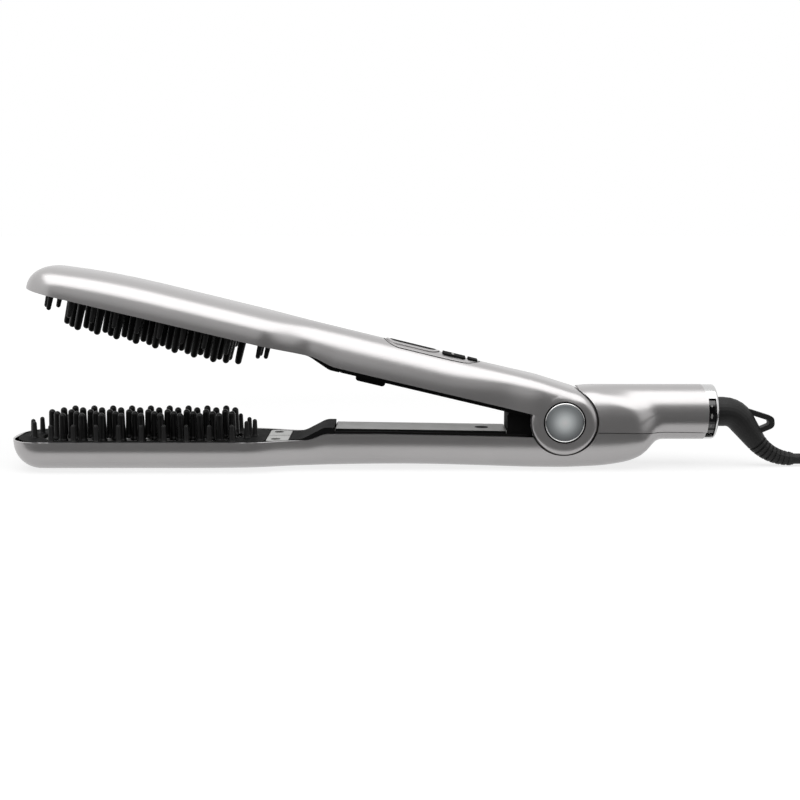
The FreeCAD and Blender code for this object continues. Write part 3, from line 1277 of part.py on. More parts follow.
def build_plug():
    """Two-pin plug that lies on the folded cord, its pins towards the brush."""
    x = "(hank_x + plug_reach)"
    y = "plug_y"
    low = "(hank_layers * 2 * cord_radius + 0.1)"
    z = f"({low} + plug_height / 2)"
    tail = doc.addObject("Part::Cone", "plug_boot")
    tail.Placement = Placement(Vector(0, 0, 0), Rotation(Vector(0, 1, 0), -90))
    tail.setExpression("Radius1", bound("cord_radius + 0.5"))
    tail.setExpression("Radius2", bound("cord_radius + 2.2"))
    tail.setExpression("Height", bound("plug_tail"))
    for axis, value in (("x", x), ("y", y), ("z", z)):
        tail.setExpression("Placement.Base." + axis, bound(value))
    body = new_body("plug_shell")
    plan = sketch_on(body, "XY_Plane", "plug_plan", low)
    rear = f"({x} - plug_tail)"
    front = f"({x} - plug_tail - plug_length)"
    half = "(plug_width / 2)"
    waist = f"({rear} - plug_taper)"
    add_outline(plan, [(rear, f"({y} - plug_neck)", "3"), (rear, f"({y} + plug_neck)", "3"),
                       (waist, f"({y} + {half})", "8"), (front, f"({y} + {half})", "2"),
                       (front, f"({y} - {half})", "2"), (waist, f"({y} - {half})", "8")])
    pad(body, plan, "plug_height")
    fuse("plug_body", [tail, body])
    blades = []
    for label, shift in (("a", "-blade_pitch / 2"), ("b", "blade_pitch / 2")):
        blades.append(place_cylinder("blade_" + label, "x", f"({front} - blade_length)", f"({y} + {shift})",
                                     z, "blade_radius", "blade_length"))
    join("plug_pins", blades)


# ---------------------------------------------------------------- the whole brush

def build_heads():
    build_frame("lower_bristle_frame", False, "rim_z - frame_thick")
    build_frame("upper_bristle_frame", True, "upper_rim")
    build_heater_plate("lower_heater_plate", False, "rim_z - frame_thick - plate_thick")
    build_heater_plate("upper_heater_plate", True, "upper_rim + frame_thick")
    base = size("hinge_x")
    build_pins("lower_bristles", base, long_bristle_places(False), "rim_z - frame_thick", "bristle_base",
               "rim_z + bristle_height", "bristle_tip", False)
    build_pins("upper_bristles", 0, long_bristle_places(True), "upper_rim + frame_thick",
               "bristle_base", "upper_rim - upper_bristle_height", "bristle_tip", True)
    build_pins("lower_edge_bristles", base, short_bristle_places(False), "rim_z", "edge_base",
               "rim_z + edge_height", "edge_tip", False)
    build_pins("upper_edge_bristles", 0, short_bristle_places(True), "upper_rim", "edge_base",
               "upper_rim - edge_height", "edge_tip", True)
    build_tabs("lower_plate_tabs", "hinge_x", "rim_z - frame_thick", False)
    build_tabs("upper_plate_tabs", "0", "upper_rim", True)
    build_ramp("ramp_cover", False, "+", "rim_z - frame_thick", "rim_z + 0.2", "ramp_top")
    build_ramp("upper_ramp", True, "-", "upper_rim + frame_thick", "upper_rim - 0.2", "-liner_drop")


build_lower_casing()
build_rear_cover()
build_end_cap()
build_dial_ring()
build_upper_casing()
build_heads()
build_lower_liner()
build_tank()
build_hinge()
build_upper_liner()
build_controls()
build_inner_works()
build_swivel()
build_strain_relief()
build_cord()
build_plug()
doc.recompute()

NODES = [
    "lower_casing", "rear_cover", "end_cap", "dial_ring", "lower_liner", "ramp_cover",
    "lower_bristle_frame", "lower_heater_plate", "lower_plate_tabs", "lower_bristles",
    "lower_edge_bristles", "lower_heater_element", "steam_chamber", "steam_tube", "water_pump",
    "water_tank", "tank_lid", "fill_plug", "hinge_block", "hinge_bushes", "main_board",
    "swivel_socket", "upper_casing", "upper_liner", "upper_ramp", "closing_bumper",
    "upper_bristle_frame", "upper_heater_plate", "upper_plate_tabs", "upper_bristles",
    "upper_edge_bristles", "upper_heater_element", "hinge_pin", "hinge_caps", "opening_spring",
    "control_bezel", "control_board", "key_switches", "rocker_axle", "temperature_rocker",
    "steam_button", "power_button", "cord_gland", "strain_relief", "cord_tube", "cord_hank",
    "cord_tie", "plug_body", "plug_pins",
]

for item in doc.Objects:
    if "Invalid" in item.State or "Error" in item.State:
        raise RuntimeError(f"{item.Label} did not compute: {item.State}")

os.makedirs("parts", exist_ok=True)
for node in NODES:
    piece = doc.getObjectsByLabel(node)[0]
    if piece.Shape.isNull() or not piece.Shape.isValid() or not piece.Shape.Solids:
        raise RuntimeError(f"{node} is not a valid solid")
    piece.Shape.exportStep(f"parts/{node}.step")
print(len(NODES), "pieces written")
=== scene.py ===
import bpy
import bmesh
import json
import math
from mathutils import Matrix, Vector


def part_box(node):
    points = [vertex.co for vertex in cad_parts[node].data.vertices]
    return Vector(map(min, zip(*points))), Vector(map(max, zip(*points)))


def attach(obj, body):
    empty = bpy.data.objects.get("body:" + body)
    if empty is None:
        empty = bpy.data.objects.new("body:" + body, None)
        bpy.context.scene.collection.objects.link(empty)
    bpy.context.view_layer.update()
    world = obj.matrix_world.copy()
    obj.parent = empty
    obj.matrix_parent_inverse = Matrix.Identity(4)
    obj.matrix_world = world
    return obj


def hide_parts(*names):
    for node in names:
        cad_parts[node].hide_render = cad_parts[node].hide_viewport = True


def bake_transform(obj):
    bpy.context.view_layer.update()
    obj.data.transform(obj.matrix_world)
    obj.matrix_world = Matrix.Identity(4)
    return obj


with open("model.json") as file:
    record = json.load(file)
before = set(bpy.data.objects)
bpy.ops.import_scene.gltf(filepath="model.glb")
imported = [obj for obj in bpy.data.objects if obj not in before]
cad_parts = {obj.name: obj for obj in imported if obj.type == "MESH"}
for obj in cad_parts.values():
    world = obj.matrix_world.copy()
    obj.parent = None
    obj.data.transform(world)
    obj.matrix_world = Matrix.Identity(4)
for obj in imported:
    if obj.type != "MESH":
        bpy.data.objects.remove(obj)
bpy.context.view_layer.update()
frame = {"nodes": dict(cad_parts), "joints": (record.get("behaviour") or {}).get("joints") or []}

# Steam hair straightener brush.  The scene is in metres, +X towards the cord, +Z up, and the
# object stands on z = 0.  Its shapes are written in millimetres and turned into metres by mm().

MM = 0.001
NODES = frame["nodes"]
BASE = "base"
ARM = "upper_arm"
JOINTS = {joint["name"]: joint for joint in frame["joints"]}
HINGE = Vector(JOINTS["arm_hinge"]["pos_m"])
OPEN_ANGLE = math.radians(13.4)
ARM_FRAME = Matrix.Translation(HINGE) @ Matrix.Rotation(OPEN_ANGLE, 4, "Y")


def mm(x, y, z):
    """A point in metres, given in millimetres."""
    return Vector((x * MM, y * MM, z * MM))


# ---------------------------------------------------------------- camera

CAMERA_TARGET = mm(-2.2, 0, 31.3)
CAMERA_DISTANCE = 0.583
CAMERA_PITCH = math.radians(8.5)
CAMERA_LENS = 55.9


def make_camera():
    data = bpy.data.cameras.new("camera")
    data.lens = CAMERA_LENS
    data.sensor_width = 36
    data.clip_start = 0.01
    camera = bpy.data.objects.new("camera", data)
    bpy.context.scene.collection.objects.link(camera)
    away = Vector((0, -math.cos(CAMERA_PITCH), math.sin(CAMERA_PITCH)))
    camera.location = CAMERA_TARGET + away * CAMERA_DISTANCE
    camera.rotation_euler = (math.pi / 2 - CAMERA_PITCH, 0, 0)
    bpy.context.scene.camera = camera


make_camera()

# ---------------------------------------------------------------- mesh helpers


MERGE_WITHIN = 1e-7
LEAST_RADIUS = 1e-6


def add_mesh(name, vertices, faces):
    """A new smooth-shaded object from plain lists, with its normals outwards."""
    mesh = bpy.data.meshes.new(name)
    mesh.from_pydata([tuple(v) for v in vertices], [], faces)
    shape = bmesh.new()
    shape.from_mesh(mesh)
    bmesh.ops.remove_doubles(shape, verts=shape.verts, dist=MERGE_WITHIN)
    bmesh.ops.recalc_face_normals(shape, faces=shape.faces)
    shape.to_mesh(mesh)
    shape.free()
    for polygon in mesh.polygons:
        polygon.use_smooth = True
    mesh.update()
    piece = bpy.data.objects.new(name, mesh)
    bpy.context.scene.collection.objects.link(piece)
    return piece


def loft(rings):
    """Vertices and faces of a closed form through rings with as many points each."""
    count = len(rings[0])
    vertices = [point for ring in rings for point in ring]
    faces = []
    for i in range(len(rings) - 1):
        for j in range(count):
            k = (j + 1) % count
            faces.append((i * count + j, i * count + k, (i + 1) * count + k, (i + 1) * count + j))
    faces.append(tuple(range(count))[::-1])
    faces.append(tuple((len(rings) - 1) * count + j for j in range(count)))
    return vertices, faces


def merge(parts):
    """Several (vertices, faces) pairs as one."""
    vertices, faces = [], []
    for some_vertices, some_faces in parts:
        start = len(vertices)
        vertices += list(some_vertices)
        faces += [tuple(start + index for index in face) for face in some_faces]
    return vertices, faces


def round_ring(centre, side, other, radius, sides):
    """Points of a circle in the plane of two directions."""
    turns = [2 * math.pi * i / sides for i in range(sides)]
    return [centre + (side * math.cos(turn) + other * math.sin(turn)) * radius for turn in turns]


def lathe(profile, centre, axis, sides):
    """Turned solid: profile holds (distance along the axis, radius) from end to end."""
    axis = Vector(axis).normalized()
    side = axis.orthogonal().normalized()
    other = axis.cross(side)
    return loft([round_ring(Vector(centre) + axis * distance, side, other,
                            max(radius, LEAST_RADIUS), sides) for distance, radius in profile])


def smooth_by_angle(piece, degrees):
    """Keeps edges sharper than the angle crisp and smooths the rest."""
    mesh = piece.data
    for polygon in mesh.polygons:
        polygon.use_smooth = True
    shape = bmesh.new()
    shape.from_mesh(mesh)
    limit = math.radians(degrees)
    for edge in shape.edges:
        edge.smooth = len(edge.link_faces) == 2 and edge.calc_face_angle(0) < limit
    shape.to_mesh(mesh)
    shape.free()


# ---------------------------------------------------------------- materials


def colour(text):
    """Linear colour from a hexadecimal sRGB one."""
    values = [int(text[i:i + 2], 16) / 255 for i in (1, 3, 5)]
    linear = [v / 12.92 if v <= 0.04045 else ((v + 0.055) / 1.055) ** 2.4 for v in values]
    return (*linear, 1)


def add_node(tree, kind, values=None, **settings):
    """A new shader node; a value that is a socket of another node is linked, any other is set."""
    made = tree.nodes.new("ShaderNode" + kind)
    for name, value in settings.items():
        setattr(made, name, value)
    for key, value in (values or {}).items():
        if isinstance(value, bpy.types.NodeSocket):
            tree.links.new(value, made.inputs[key])
        else:
            made.inputs[key].default_value = value
    return made


CLOUD_SCALE = 40
# Scales of the noise in the gloss and in the bump, as multiples of the grain.
GLOSS_GRAIN, BUMP_GRAIN = 0.4, 10
NOISE_LOW, NOISE_HIGH = 0.3, 0.7
BUMP_DEPTH = 0.0002


def finish(name, base, roughness, metallic=0.0, vary=0.06, grain=400, bump=0.02, rough_vary=0.08,
           coat=0.0, coat_roughness=0.1, specular=0.5):
    """A moulded, painted or plated surface: clouded colour, uneven gloss and a fine grain."""
    material = bpy.data.materials.new(name)
    material.use_nodes = True
    tree = material.node_tree
    shader = tree.nodes["Principled BSDF"]
    shader.inputs["Metallic"].default_value = metallic
    shader.inputs["Specular IOR Level"].default_value = specular
    shader.inputs["Coat Weight"].default_value = coat
    shader.inputs["Coat Roughness"].default_value = coat_roughness
    place = add_node(tree, "TexCoord").outputs["Object"]

    def noise(scale, detail=4):
        made = add_node(tree, "TexNoise", {"Vector": place, "Scale": scale, "Detail": detail})
        return made.outputs["Fac"]

    def spread(value, low, high):
        """Carries the noise's middle range to the one from low to high."""
        return add_node(tree, "MapRange", {"Value": value, "From Min": NOISE_LOW, "From Max": NOISE_HIGH,
                                           "To Min": low, "To Max": high}).outputs["Result"]

    full = colour(base)
    dark = tuple(v * (1 - vary) for v in full[:3]) + (1,)
    light = tuple(min(1, v * (1 + vary)) for v in full[:3]) + (1,)
    shade = add_node(tree, "Mix", {"Factor": spread(noise(CLOUD_SCALE), 0, 1), "A": dark, "B": light},
                     data_type="RGBA")
    tree.links.new(shade.outputs["Result"], shader.inputs["Base Color"])
    gloss = spread(noise(grain * GLOSS_GRAIN), roughness - rough_vary / 2, roughness + rough_vary / 2)
    tree.links.new(gloss, shader.inputs["Roughness"])
    if bump:
        relief = add_node(tree, "Bump", {"Strength": bump, "Distance": BUMP_DEPTH,
                                         "Height": noise(grain * BUMP_GRAIN, 2)})
        tree.links.new(relief.outputs["Normal"], shader.inputs["Normal"])
    return material


SILVER = finish("silver_paint", "#b1afaf", 0.3, metallic=0.72, vary=0.02, grain=900, bump=0,
                rough_vary=0.02, coat=0.15, coat_roughness=0.2)
PANEL_GREY = finish("grey_panel", "#9b9b99", 0.42, metallic=0.3, vary=0.03)
PLATE = finish("heater_plate", "#b4b4b2", 0.38, metallic=0.7, vary=0.04)
BLACK = finish("black_moulding", "#0e0e0e", 0.75, vary=0.15, grain=700, bump=0.04, specular=0.1)
BRISTLE = finish("bristle_nylon", "#050505", 0.3, vary=0.2, grain=500, bump=0.02, specular=0.22)
EDGE_BRISTLE = finish("edge_bristle_nylon", "#171717", 0.5, vary=0.15, grain=500, bump=0.03,
                      specular=0.25)
RUBBER = finish("cord_rubber", "#191919", 0.55, vary=0.1, grain=600, bump=0.08, specular=0.3)
CHROME = finish("satin_chrome", "#c9c9c9", 0.2, metallic=1.0, vary=0.03, bump=0.01)
GLOSS_BLACK = finish("gloss_black", "#0b0b0c", 0.12, vary=0.1, coat=0.6)
STEEL = finish("steel", "#a7a9ab", 0.28, metallic=1.0, vary=0.05)
BRASS = finish("brass", "#b99653", 0.3, metallic=1.0, vary=0.06)
BOARD = finish("circuit_board", "#1f4a2e", 0.45, vary=0.15)
TANK = finish("tank_plastic", "#d8dad8", 0.3, vary=0.04)
CERAMIC = finish("ceramic", "#e2ded4", 0.55, vary=0.05)
MARK = finish("pale_marking", "#9c9c9a", 0.5, vary=0.04)

NODE_FINISH = {
    "lower_casing": SILVER, "rear_cover": SILVER, "upper_casing": SILVER,
    "end_cap": CHROME, "dial_ring": GLOSS_BLACK, "lower_liner": BLACK, "ramp_cover": BLACK,
    "lower_bristle_frame": BLACK, "upper_bristle_frame": BLACK,
    "lower_heater_plate": PLATE, "upper_heater_plate": PLATE,
    "lower_plate_tabs": PLATE, "upper_plate_tabs": PLATE,
    "lower_bristles": BRISTLE, "upper_bristles": BRISTLE,
    "lower_edge_bristles": EDGE_BRISTLE, "upper_edge_bristles": EDGE_BRISTLE,
    "lower_heater_element": CERAMIC, "upper_heater_element": CERAMIC,
    "steam_chamber": STEEL, "steam_tube": TANK, "water_pump": BLACK, "water_tank": TANK,
    "tank_lid": PANEL_GREY, "fill_plug": BLACK, "hinge_block": BLACK, "hinge_bushes": BRASS,
    "main_board": BOARD, "swivel_socket": BRASS, "upper_liner": BLACK, "upper_ramp": BLACK,
    "closing_bumper": BLACK, "hinge_pin": STEEL, "hinge_caps": CHROME, "opening_spring": STEEL,
    "control_bezel": GLOSS_BLACK, "control_board": BOARD, "key_switches": BLACK,
    "rocker_axle": STEEL, "temperature_rocker": SILVER, "steam_button": BLACK,
    "power_button": BLACK, "cord_gland": RUBBER, "strain_relief": RUBBER, "cord_tube": RUBBER,
    "cord_hank": RUBBER, "cord_tie": BLACK, "plug_body": RUBBER, "plug_pins": BRASS,
}


def paint(piece, material):
    piece.data.materials.clear()
    piece.data.materials.append(material)


for node, material in NODE_FINISH.items():
    paint(NODES[node], material)
    for polygon in NODES[node].data.polygons:
        polygon.material_index = 0

# ---------------------------------------------------------------- outlines of the two arms

NOSE_X = -182.9
UPPER_REACH = 254.7
HEAD_HALF = 21.0
HANDLE_HALF = 14.5
HIP_HALF = 15.6
KNUCKLE_HALF = 16.0
KNUCKLE_RADIUS = 15.5
WALL = 1.8
NOSE_WALL = 2.0
SEAM_Z = 18.4
SEAM = 0.16
SEAM_END_Z = 17.3
CASING_END = 139.6
BARREL_Z = 25.9
BARREL_RADIUS = 12.9
HINGE_X = HINGE.x / MM
HINGE_Z = HINGE.z / MM
# A nose's rounding as its length and power: from above, and from the side for each arm.
PLAN_NOSE = (18, 2.3)
LOWER_NOSE = (14, 2.0)
UPPER_NOSE = (12, 2.0)
# An inner form keeps this many times its inset at the noses and the crown.
STEEP_INSET = 1.1
LEAST_HALF = 0.2


def eased(share):
    """Smooth step from 0 to 1."""
    share = min(1.0, max(0.0, share))
    return share * share * (3 - 2 * share)


def along(knots, x, ease=eased):
    """Value at x between (x, value) knots in rising order of x, eased from knot to knot."""
    if x <= knots[0][0]:
        return knots[0][1]
    for (x0, value0), (x1, value1) in zip(knots, knots[1:]):
        if x <= x1:
            return value0 + (value1 - value0) * ease((x - x0) / (x1 - x0))
    return knots[-1][1]


def straight(knots, x):
    """Value at x on straight lines from knot to knot."""
    return along(knots, x, float)


def rounded(distance, length, power):
    """Share of the full size at a distance from a nose of that length: 0 at its tip, 1 past it."""
    if distance >= length:
        return 1.0
    return (1 - ((length - max(distance, 0)) / length) ** power) ** (1 / power)


def oval(half, up, down, power, sides=96):
    """Points (y, z) round a superellipse whose upper and lower halves differ in height."""
    points = []
    for i in range(sides):
        quarter, part = divmod(i, sides // 4)
        angle = math.pi / 2 * (quarter + (1 - math.cos(math.pi * part / (sides // 4))) / 2)
        c, s = math.cos(angle), math.sin(angle)
        y = half * math.copysign(abs(c) ** (2 / power), c)
        z = (up if s > 0 else down) * math.copysign(abs(s) ** (2 / power), s)
        points.append((y, z))
    return points


def nose_steps(length, count=14):
    """Distances from a nose tip, close together near it."""
    return [length * (1 - math.cos(math.pi / 2 * (i / count))) for i in range(1, count + 1)]


# Lower body: knots are (x, value) in the part's frame.
LOWER_BOTTOM = [(-100, 0.0), (-1.7, 1.6), (73, 0.0), (90, 0.5)]
LOWER_MIDDLE = [(-46, 14.5), (-36, 18.0), (40, 17.2), (64, 18.0), (92, 20.0)]
SHOULDER = [(-72.7, HEAD_HALF), (-46.7, HANDLE_HALF)]
HIP = [(44, HANDLE_HALF), (60, HIP_HALF)]
RIDGE_X, RIDGE_Z = 86.0, 22.0
RIDGE_LONG, RIDGE_HIGH, RIDGE_LAG = 26.0, 15.0, 0.45
RIDGE_LEAD, RIDGE_FADE = 8, 14
RIDGE_START, RIDGE_SOFT = 0.80, 0.34
LOWER_CROWN = [(40, 14.0), (80, 18.8)]
LOWER_POWER, BARREL_POWER = 2.7, 2.05
BELLY = [(88, 0), (94, 0.5), (101, 1.6), (106, 2.9), (109, 4.2), (112, 6.3), (114, 8.6), (115.5, 10.6),
         (117, 12.0), (120, 13.0)]
# Steps along x and weights that smooth the sections behind the ridge.
BLUR = [(-3.6, 0.1), (-1.8, 0.23), (0.0, 0.34), (1.8, 0.23), (3.6, 0.1)]
BEFORE_REAR = 84


def into_barrel(x, ring, middle, down, inset):
    """The section's points at x on their way from the hip to the round barrel behind the ridge."""
    lift = straight(BELLY, x)
    hip = [(y, z + (lift if z < middle else 0) * min(1, (middle - z) / down)) for y, z in ring]
    radius = BARREL_RADIUS - inset
    barrel = [(y, BARREL_Z + z) for y, z in oval(radius, radius, radius, BARREL_POWER)]
    behind = max(0.0, x - RIDGE_X) / RIDGE_LONG
    carried = []
    for (hip_y, hip_z), (barrel_y, barrel_z) in zip(hip, barrel):
        if hip_z > RIDGE_Z:
            above = (hip_z - RIDGE_Z) / RIDGE_HIGH * eased((x - RIDGE_X + RIDGE_LEAD) / RIDGE_FADE)
            reach = math.hypot(behind, above)
        else:
            reach = behind - RIDGE_LAG * eased((RIDGE_Z - hip_z) / RIDGE_Z)
        share = eased((reach - RIDGE_START) / RIDGE_SOFT)
        carried.append((hip_y + (barrel_y - hip_y) * share, hip_z + (barrel_z - hip_z) * share))
    return carried


def lower_section(x, inset, floor):
    """Points (y, z) of the lower body's full section at x, before it is smoothed along x."""
    behind_nose = x - NOSE_X - inset * STEEP_INSET
    low = rounded(behind_nose, *LOWER_NOSE)
    half = along(SHOULDER if x < HIP[0][0] else HIP, x) * rounded(behind_nose, *PLAN_NOSE) - inset
    middle = along(LOWER_MIDDLE, x)
    down = max((middle - along(LOWER_BOTTOM, x)) * low - floor, LEAST_HALF)
    up = max(along(LOWER_CROWN, x) * low, LEAST_HALF)
    ring = [(y, middle + z) for y, z in oval(max(half, LEAST_HALF), up, down, LOWER_POWER)]
    if x > RIDGE_X - RIDGE_LEAD:
        ring = into_barrel(x, ring, middle, down, inset)
    return ring


def lower_ring(x, inset=0.0, floor=0.0):
    """Full section of the lower body at x; the part above the rim is cut away later."""
    ring = lower_section(x, inset, floor)
    if x > RIDGE_X:
        near = [(weight, lower_section(x + step, inset, floor)) for step, weight in BLUR]
        ring = [tuple(sum(weight * section[i][axis] for weight, section in near) for axis in (0, 1))
                for i in range(len(ring))]
    return [mm(x, y, z) for y, z in ring]


def stations(start, end, step):
    """Even positions from start to end, about a step apart."""
    count = max(1, round((end - start) / step))
    return [start + (end - start) * i / count for i in range(count + 1)]


def rear_stations(end):
    """Close steps over the ridge and wider ones along the barrel."""
    return stations(85.2, 122, 1.2) + stations(124, end, 3.0)


def lower_body(inset=0.0, floor=0.0, start=NOSE_X, end=CASING_END):
    """The lower body as a closed form, or the smaller form that hollows it."""
    xs = [start + d for d in nose_steps(20)]
    xs += stations(xs[-1] + 3, BEFORE_REAR, 3.0) + rear_stations(end)
    return loft([lower_ring(x, inset, floor) for x in xs if x <= end])


# Upper arm: drawn level, x = -reach from the hinge axis, z above it.
UPPER_RIM = [(-120.5, 2.6), (-107.5, 0.2)]
UPPER_TOP = [(-255.2, 14.3), (-246.0, 14.9), (-238.0, 15.7), (-230.0, 16.5), (-220.0, 17.2),
             (-208.0, 17.65), (-196.0, 17.8), (-16.0, 16.75), (0.0, 15.5)]
UPPER_SHOULDER = [(-146.0, HEAD_HALF), (-120.0, HANDLE_HALF)]
UPPER_HIP = [(-30.0, HANDLE_HALF), (-13.0, KNUCKLE_HALF)]
UPPER_POWER = [(-150.0, 2.85), (-118.0, 2.35), (-60.0, 2.35), (-8.0, 4.2)]
ARCH_STEPS, UNDER_STEPS = 40, 12


def upper_section(x, inset=0.0, grow=0.0):
    """Arch of the upper casing at x: (y, z) from one rim over the crown to the other."""
    behind_nose = x + UPPER_REACH - inset * STEEP_INSET
    high = rounded(behind_nose, *UPPER_NOSE)
    half = along(UPPER_SHOULDER if x < UPPER_HIP[0][0] else UPPER_HIP, x)
    half *= rounded(behind_nose, *PLAN_NOSE)
    rim = along(UPPER_RIM, x)
    top = (straight(UPPER_TOP, x) - rim) * high - inset * STEEP_INSET + grow
    power = along(UPPER_POWER, x)
    half, top = max(half - inset, LEAST_HALF), max(top, LEAST_HALF)
    points = []
    for i in range(ARCH_STEPS + 1):
        angle = math.pi * (1 - math.cos(math.pi * i / ARCH_STEPS)) / 2
        angle = (math.pi * i / ARCH_STEPS + angle) / 2
        c, s = math.cos(angle), max(math.sin(angle), 0.0)
        points.append((half * math.copysign(abs(c) ** (2 / power), c), rim + top * s ** (2 / power)))
    return points


def upper_ring(x, inset=0.0, grow=0.0, skirt=0.0):
    """Closed ring of the upper casing at x, with its flat underside, or a skirt below it."""
    arch = upper_section(x, inset, grow)
    rim = along(UPPER_RIM, x)
    first, last = arch[0][0], arch[-1][0]
    ends = range(UNDER_STEPS + 1) if skirt else range(1, UNDER_STEPS)
    under = [(last + (first - last) * i / UNDER_STEPS, rim - skirt) for i in ends]
    return [mm(x, y, z) for y, z in arch + under]


def upper_stations(start, end):
    """Steps along the arm, closest at the nose and over the shoulder."""
    xs = [start + d for d in nose_steps(36, 20)]
    return xs + stations(xs[-1] + 3, -152, 4.0) + stations(-149, -100, 1.5) + stations(-97, end, 3.0)


# ---------------------------------------------------------------- cutting


def prism(corners, axis, low, high):
    """Solid with a polygon in the plane across the axis; corners in mm."""
    place = {"x": lambda a, b, c: mm(c, a, b), "y": lambda a, b, c: mm(a, c, b),
             "z": lambda a, b, c: mm(a, b, c)}[axis]
    return loft([[place(a, b, level) for a, b in corners] for level in (low, high)])


def circle(centre_a, centre_b, radius, sides=128):
    return [(centre_a + radius * math.cos(2 * math.pi * i / sides),
             centre_b + radius * math.sin(2 * math.pi * i / sides)) for i in range(sides)]


def stadium(front, rear, half, sides=24):
    """Long rounded outline along x, given by the reach of its two ends."""
    half_long = (front - rear) / 2
    centre = -(front + rear) / 2
    points = []
    for i in range(2 * sides):
        angle = -math.pi / 2 + math.pi * (i + 0.5) / sides
        end = half_long - half if math.cos(angle) > 0 else half - half_long
        points.append((centre + end + half * math.cos(angle), half * math.sin(angle)))
    return points


def rounded_box(front, rear, half, corner, steps=6):
    """Outline of a box with rounded corners, given like that of a stadium."""
    points = []
    for sign_x, sign_y, first in ((1, 1, 0), (-1, 1, 90), (-1, -1, 180), (1, -1, 270)):
        centre_x = (-rear - corner) if sign_x > 0 else (-front + corner)
        centre_y = sign_y * (half - corner)
        for i in range(steps + 1):
            angle = math.radians(first + 90 * i / steps)
            points.append((centre_x + corner * math.cos(angle), centre_y + corner * math.sin(angle)))
    return points


def apply_modifiers(piece):
    """Makes what the piece's modifiers do part of its mesh."""
    graph = bpy.context.evaluated_depsgraph_get()
    result = bpy.data.meshes.new_from_object(piece.evaluated_get(graph))
    piece.modifiers.clear()
    old = piece.data
    piece.data = result
    bpy.data.meshes.remove(old)


def combine(piece, tool_parts, operation="DIFFERENCE"):
    """Cuts, joins or intersects the piece with a closed form, for good."""
    tool = add_mesh("tool", *tool_parts)
    modifier = piece.modifiers.new("combine", "BOOLEAN")
    modifier.object = tool
    modifier.operation = operation
    modifier.solver = "EXACT"
    apply_modifiers(piece)
    bpy.data.objects.remove(tool)


def soften(piece, width, segments=2, degrees=40):
    """Rounds the sharp edges by a small width in mm, for good."""
    modifier = piece.modifiers.new("soften", "BEVEL")
    modifier.width = width * MM
    modifier.segments = segments
    modifier.limit_method = "ANGLE"
    modifier.angle_limit = math.radians(degrees)
    apply_modifiers(piece)


def settle(piece, body, material, slot, *nodes, smooth=35):
    """Finishes a piece: shading, material, the body it rides on and the nodes it stands for."""
    smooth_by_angle(piece, smooth)
    paint(piece, material)
    if nodes:
        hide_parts(*nodes)
    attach(piece, body)


def in_arm(piece):
    """Carries a piece drawn with the arm level to the open arm."""
    piece.data.transform(ARM_FRAME)


# ---------------------------------------------------------------- casings

# The knuckle: powers of its edge below and on top, and the rooms cut round it and in it.
KNUCKLE_POWERS = (14.0, 4.2)
KNUCKLE_ROOM = 15.8
CHEEK = 4
HUB_ROOM = 13.1
HUB_SLOT = [(-17, -17), (17, -17), (17, 4), (-17, 4)]
RECESS_FLOOR, RECESS_RADIUS = 15.0, 9.75
# The lower casing's rim as (x, z) knots, along the head and along the handle, up to the seam.
RIM_HEAD = [(-260, 14.5), (-45.7, 14.5), (-35.2, 17.4)]
RIM_HANDLE = [(-11.2, 17.4), (57.8, 16.0), (72, 16.0)]
RIM_START, RIM_END, RIM_STEPS = -200, 72, 160
SEAM_FALL_X = 80
# Reach of the cutting forms past what they cut.
PAST_END = CASING_END + 5
ACROSS = (-60, 60)
HIGH = 80
PAST_SIDE = 20
ABOVE_ARM = 40
# The hollows' walls and ends, the rear cover's cuts and the opening for the control panel.
FLOOR_WALL = 3.2
HOLLOW_END = 97
BORE = (96, 160)
REAR_LOFT_X, REAR_FRONT_X = 70, 80.7
REAR_END_X, SLANT_Z, TOP_SLANT = CASING_END + 0.4, 33.5, 0.3
ARM_HOLLOW_END, ARM_SKIRT = -8, 6
ROOT_WALL, ROOT_FROM, ROOT_OVER = 2.2, -30, 15
PANEL_FRONT, PANEL_REAR, PANEL_HALF, PANEL_GAP = 89.5, 43.2, 8.3, 0.6
PANEL_CUT = 5


def rim_polygon():
    """Side view of what lies above the lower casing's rim and seam."""
    points = []
    for i in range(RIM_STEPS):
        x = RIM_START + (RIM_END - RIM_START) * i / (RIM_STEPS - 1)
        points.append((x, along(RIM_HEAD, x) if x < RIM_HANDLE[0][0] else straight(RIM_HANDLE, x)))
    return points + [(RIM_END + 0.1, SEAM_Z - SEAM), (SEAM_FALL_X, SEAM_Z - SEAM),
                     (PAST_END, SEAM_END_Z - SEAM), (PAST_END, HIGH), (RIM_START, HIGH)]


def cut_rear(shell):
    """Cuts the knuckle's room and the barrel's bore."""
    combine(shell, prism(circle(HINGE_X, HINGE_Z, KNUCKLE_ROOM), "y", *ACROSS))
    combine(shell, prism(circle(0, BARREL_Z, BARREL_RADIUS - WALL), "x", *BORE))


def make_lower_shell():
    shell = add_mesh("lower_shell", *lower_body())
    combine(shell, prism(rim_polygon(), "y", *ACROSS))
    combine(shell, lower_body(WALL, FLOOR_WALL, NOSE_X + NOSE_WALL, HOLLOW_END))
    cut_rear(shell)
    settle(shell, BASE, SILVER, "casing", "lower_casing")


